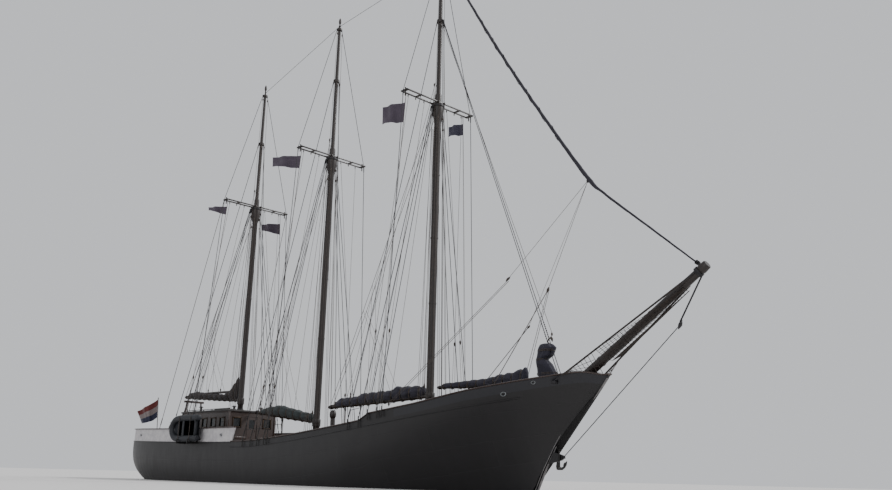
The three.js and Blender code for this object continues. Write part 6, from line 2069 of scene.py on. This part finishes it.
@dataclass
class Tender:
    """The inflatable tender on its edge outboard of the quarter."""

    aft_x: float = -11.05
    fore_x: float = -7.4
    y: float = -3.78
    z: float = 3.3
    half: float = 0.85
    tube_r: float = 0.205

    def build(self) -> None:
        """Builds the tube, the floor with its transom and thwart, and the grab lines and gripes."""
        shape = Shape()
        r, z = self.tube_r, self.z
        edge = z - self.half + 0.21
        points = [
            vec(self.fore_x - 0.02, self.y, edge), vec(self.fore_x - 0.3, self.y, edge),
            vec(self.aft_x + 1.1, self.y, edge), vec(self.aft_x + 0.42, self.y, z - 0.43),
            vec(self.aft_x + 0.22, self.y, z)
        ]
        points += [vec(p.x, p.y, 2 * z - p.z) for p in reversed(points[:4])]
        sizes = [0.05, r, r, r, r, r, r, r, 0.05]
        path, radii = curve_through(points, sizes, 0.08)
        shape.tube(path, radii, 18)
        shape.done("tender_tube", Stuff.tube, "rubber", replaces=["tender"])
        inside = Shape()
        inside.box((self.aft_x + 0.5, self.y + 0.06, z - 0.5), (self.fore_x - 0.12, self.y + 0.12, z + 0.5), 0.02)
        inside.box((self.aft_x + 1.0, self.y + 0.06, z - 0.64), (self.fore_x - 0.12, self.y + 0.12, z + 0.64), 0.02)
        inside.box((self.fore_x - 0.32, self.y - 0.17, z - 0.66), (self.fore_x - 0.25, self.y + 0.17, z + 0.66), 0.02)
        inside.box((-9.4, self.y - 0.1, z - 0.66), (-9.15, self.y - 0.05, z + 0.66), 0.02)
        inside.done("tender_floor", Stuff.tube, "rubber")
        rope = Shape()
        for up in (-1, 1):
            grab = [
                vec(
                    mix(-7.9, -10.0, i / 24), self.y - 0.02 - 0.03 * abs(math.sin(math.pi * i / 6)),
                    z + up * (0.85 - 0.012)
                ) for i in range(25)
            ]
            rope.tube(
                [p + vec(0, 0, -up * 0.05 * abs(math.sin(math.pi * i / 6))) for i, p in enumerate(grab)], 0.012, 5
            )
        for x in (-8.2, -9.6):
            loop = [vec(x, self.y - 0.215, z + t) for t in (-0.7, -0.3, 0.3, 0.7)]
            rope.tube(
                [vec(x, self.y - 0.1, z - 0.83), *loop, vec(x, self.y - 0.1, z + 0.83), vec(x, -3.36, z + 0.62)],
                0.02, 6
            )
        rope.done("tender_gripes", Stuff.rope, "wire")


# Flags


def wave_cloth(
    top: Vector, foot: Vector, fly_top: Vector, fly_foot: Vector, waves: float, thick: float = 0.012, limp: float = 0.0
) -> tuple[Shape, float]:
    """Builds a flag's cloth with folds that grow from the hoist to the fly.

    Args:
        top: the hoist's top.
        foot: the hoist's foot.
        fly_top: the fly's upper corner.
        fly_foot: the fly's lower corner.
        waves: how far the folds stand out.
        thick: the cloth's thickness.
        limp: how far the middle of the cloth hangs below a straight line.

    Returns:
        The shape, and the cloth's flat length along the fly.
    """
    away = (fly_top - top).cross(UP).normalized()
    columns, rows = 40, 14
    grid = []
    for i in range(columns + 1):
        t = i / columns
        swing = min(1, t * 2.5)
        line = []
        for j in range(rows + 1):
            v = j / rows
            base = foot.lerp(fly_foot, t).lerp(top.lerp(fly_top, t), v)
            wave = waves * swing * math.sin(math.tau * 1.2 * t + 0.9 * v) + 0.3 * waves * swing * math.sin(
                math.tau * 2.9 * t + 2.2 * (1 - v)
            )
            line.append(base + away * wave + vec(0, 0, -limp * math.sin(math.pi * t) * (1 - 0.4 * v)))
        grid.append(line)
    shape = Shape()
    rings = []
    for line in grid:
        front = [p + away * thick / 2 for p in line]
        back = [p - away * thick / 2 for p in reversed(line)]
        rings.append(front + back)
    span = sum((b[0] - a[0]).length for a, b in zip(grid, grid[1:]))
    upper = sum((b[-1] - a[-1]).length for a, b in zip(grid, grid[1:]))

    def spread(i: int, j: int) -> tuple[float, float]:
        """Gives the share of the fly and the share of the hoist."""
        j %= 2 * (rows + 1)
        v = j / rows if j <= rows else (2 * rows + 1 - j) / rows
        return i / columns, v

    shape.loft(rings, uv=spread)
    return shape, (span + upper) / 2


@dataclass(frozen=True)
class Signal:
    """A signal flag: its mast and side, its hoist's heights, the fly's length and drop, and the fly's depth."""

    name: str
    mast: str
    side: int
    top: float
    foot: float
    fly: float
    drop: float
    end: float
    cloth: Finish


@dataclass
class Signals:
    """The signal flags on their halyards."""

    flags: tuple[Signal, ...] = (
        Signal("fore_flag_starboard", "fore", -1, 20.9, 19.7, 1.35, 0.15, 1.0, Stuff.violet_flag),
        Signal("fore_flag_port", "fore", 1, 21.0, 20.3, 0.9, 0.1, 0.6, Stuff.blue_flag),
        Signal("main_flag_starboard", "main", -1, 20.2, 19.35, 2.0, -0.05, 0.6, Stuff.violet_flag),
        Signal("mizzen_flag_starboard", "mizzen", -1, 18.6, 18.0, 1.5, -0.05, 0.2, Stuff.violet_flag),
        Signal("mizzen_flag_port", "mizzen", 1, 18.3, 17.5, 1.5, -0.05, 0.45, Stuff.violet_flag),
    )
    foot_aft: float = 0.55  # the halyards' feet, abaft the mast

    def build(self) -> None:
        """Hoists the flags."""
        lines = Shape()
        for flag in self.flags:
            self.hoist(flag, lines)
        lines.done("signal_halyards", Stuff.rope, "wire")

    def hoist(self, flag: Signal, lines: Shape) -> None:
        """Runs a flag's halyard from the crosstree to the rail, and bends the flag to it."""
        mast = MASTS[flag.mast]
        high_z = mast.crosstree - BAR_DEPTH
        foot_x = mast.x - self.foot_aft
        rail_z = mast.rail(foot_x) + RAIL_CAP
        rim = LINES.rim(LINES.share_at(foot_x, rail_z), rail_z, -0.05).y
        high = vec(mast.x - mast.lower - 0.04, flag.side * mast.half * 0.86, high_z - 0.05)
        low = vec(foot_x, flag.side * rim, rail_z + 0.03)
        lines.rope(low, high, 0.009)
        lines.rope(low + vec(0.09, 0, 0), high + vec(0.02, 0, 0), 0.009)
        lines.block(high, UP, 0.05)
        top, foot = (high.lerp(low, (high.z - z) / (high.z - low.z)) for z in (flag.top, flag.foot))
        corner = top + vec(-0.86, -0.5, 0) * flag.fly + vec(0, 0, -flag.drop)
        shape, length = wave_cloth(top, foot, corner, corner + vec(0, 0, -flag.end), 0.1)
        piece = shape.done(flag.name + "_cloth", flag.cloth, "flag_cloth", replaces=[flag.name], sharp=60)


@dataclass
class EnsignStaff:
    """The staff at the taffrail with its limp ensign."""

    foot_x: float = -20.35
    top_x: float = -20.76
    top: float = 6.0

    def build(self) -> None:
        """Builds the staff and the ensign."""
        shape = Shape()
        foot, head = vec(self.foot_x, 0, 2.76), vec(self.top_x, 0, self.top)
        length = (head - foot).length
        shape.lathe(
            [
                (0, 0), (0.045, 0), (0.045, 0.1), (0.034, 0.12), (0.022, length), (0.045, length + 0.01),
                (0.04, length + 0.06), (0, length + 0.08)
            ],
            foot, head - foot, 16
        )
        for z in (5.96, 4.56):
            shape.ball(self.at(z, 0.01), (0.02, 0.02, 0.02), sides=8)
        shape.done("ensign_staff_pole", Stuff.rail, "rail_wood", replaces=["ensign_staff"])
        top, low = self.at(5.93, 0.026), self.at(4.55, 0.03)
        cloth, span = wave_cloth(
            top, low, vec(top.x - 1.1, -1.1, 5.0), vec(low.x - 0.85, -0.85, 4.1), 0.14, 0.014, 0.12
        )
        piece = cloth.done("ensign_cloth", Stuff.ensign, "ensign_cloth", replaces=["ensign"], sharp=60)

    def at(self, z: float, off: float) -> Vector:
        """Gives a point beside the staff at a height."""
        x = mix(self.foot_x, self.top_x, (z - 2.3) / (self.top - 2.3))
        return vec(x - off * 0.69, -off * 0.72, z)


# Studio


@dataclass
class Studio:
    """The pale floor at the waterline, soft light, and the camera at the photograph's place."""

    eye: tuple[float, float, float] = (22.395, -16.453, 0.3)
    heading: float = 46.0
    pitch: float = 14.56
    roll: float = 1.41
    focal_px: float = 897.0
    width_px: float = 892.0

    def build(self) -> None:
        """Sets the stage."""
        self.camera()
        self.floor()
        self.lights()

    def camera(self) -> None:
        """Points the camera as the photograph was taken."""
        a, t, p = (math.radians(v) for v in (self.heading, self.pitch, self.roll))
        right = vec(math.cos(a), math.sin(a), 0)
        depth = vec(-math.sin(a), math.cos(a), 0)
        forward = depth * math.cos(t) + vec(0, 0, math.sin(t))
        up = vec(0, 0, math.cos(t)) - depth * math.sin(t)
        side_x = right * math.cos(p) + up * math.sin(p)
        side_y = up * math.cos(p) - right * math.sin(p)
        data = bpy.data.cameras.new("photo_camera")
        data.sensor_fit = "HORIZONTAL"
        data.sensor_width = 36.0
        data.lens = 36.0 * self.focal_px / self.width_px
        data.clip_start, data.clip_end = 0.05, 2000.0
        camera = bpy.data.objects.new("photo_camera", data)
        turn = Matrix((side_x, side_y, -forward)).transposed().to_4x4()
        camera.matrix_world = Matrix.Translation(Vector(self.eye)) @ turn
        bpy.context.scene.collection.objects.link(camera)
        bpy.context.scene.camera = camera

    def floor(self) -> None:
        """Lays a plain pale floor at the waterline."""
        bm = bmesh.new()
        bmesh.ops.create_grid(bm, x_segments=1, y_segments=1, size=600.0)
        mesh = bpy.data.meshes.new("floor")
        bm.to_mesh(mesh)
        bm.free()
        paper = bpy.data.materials.new("matt_pale_floor")
        paper.use_nodes = True
        shader = paper.node_tree.nodes["Principled BSDF"]
        shader.inputs["Base Color"].default_value = linear("dcdad8")
        shader.inputs["Roughness"].default_value = 0.9
        mesh.materials.append(paper)
        floor = bpy.data.objects.new("floor", mesh)
        bpy.context.scene.collection.objects.link(floor)

    def lights(self) -> None:
        """Hangs a soft key behind the bow, a fill beside the camera, and a pale sky."""
        for name, energy, spread, way in (
            ("key", 2.4, 14.0, (-0.55, -0.62, -0.56)), ("fill", 0.5, 40.0, (-0.35, 0.85, -0.4))
        ):
            data = bpy.data.lights.new(name, "SUN")
            data.energy = energy
            data.angle = math.radians(spread)
            lamp = bpy.data.objects.new(name, data)
            lamp.rotation_mode = "QUATERNION"
            lamp.rotation_quaternion = Vector(way).to_track_quat("-Z", "Y")
            bpy.context.scene.collection.objects.link(lamp)
        world = bpy.data.worlds.new("pale_sky")
        world.use_nodes = True
        sky = world.node_tree.nodes["Background"]
        sky.inputs["Color"].default_value = linear("e9ebef")
        sky.inputs["Strength"].default_value = 0.85
        bpy.context.scene.world = world


def main() -> None:
    """Builds the ship's looks in order."""
    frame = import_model()
    Studio().build()
    bowsprit = Bowsprit()
    for part in (
        Hull(frame), *MASTS.values(), *booms(), bowsprit, Headsails(bowsprit), Deckhouse(frame), DeckGear(frame),
        Tender(), Signals(), EnsignStaff()
    ):
        part.build()
        log.info("built %s", type(part).__name__)


if __name__ == "__main__":
    main()
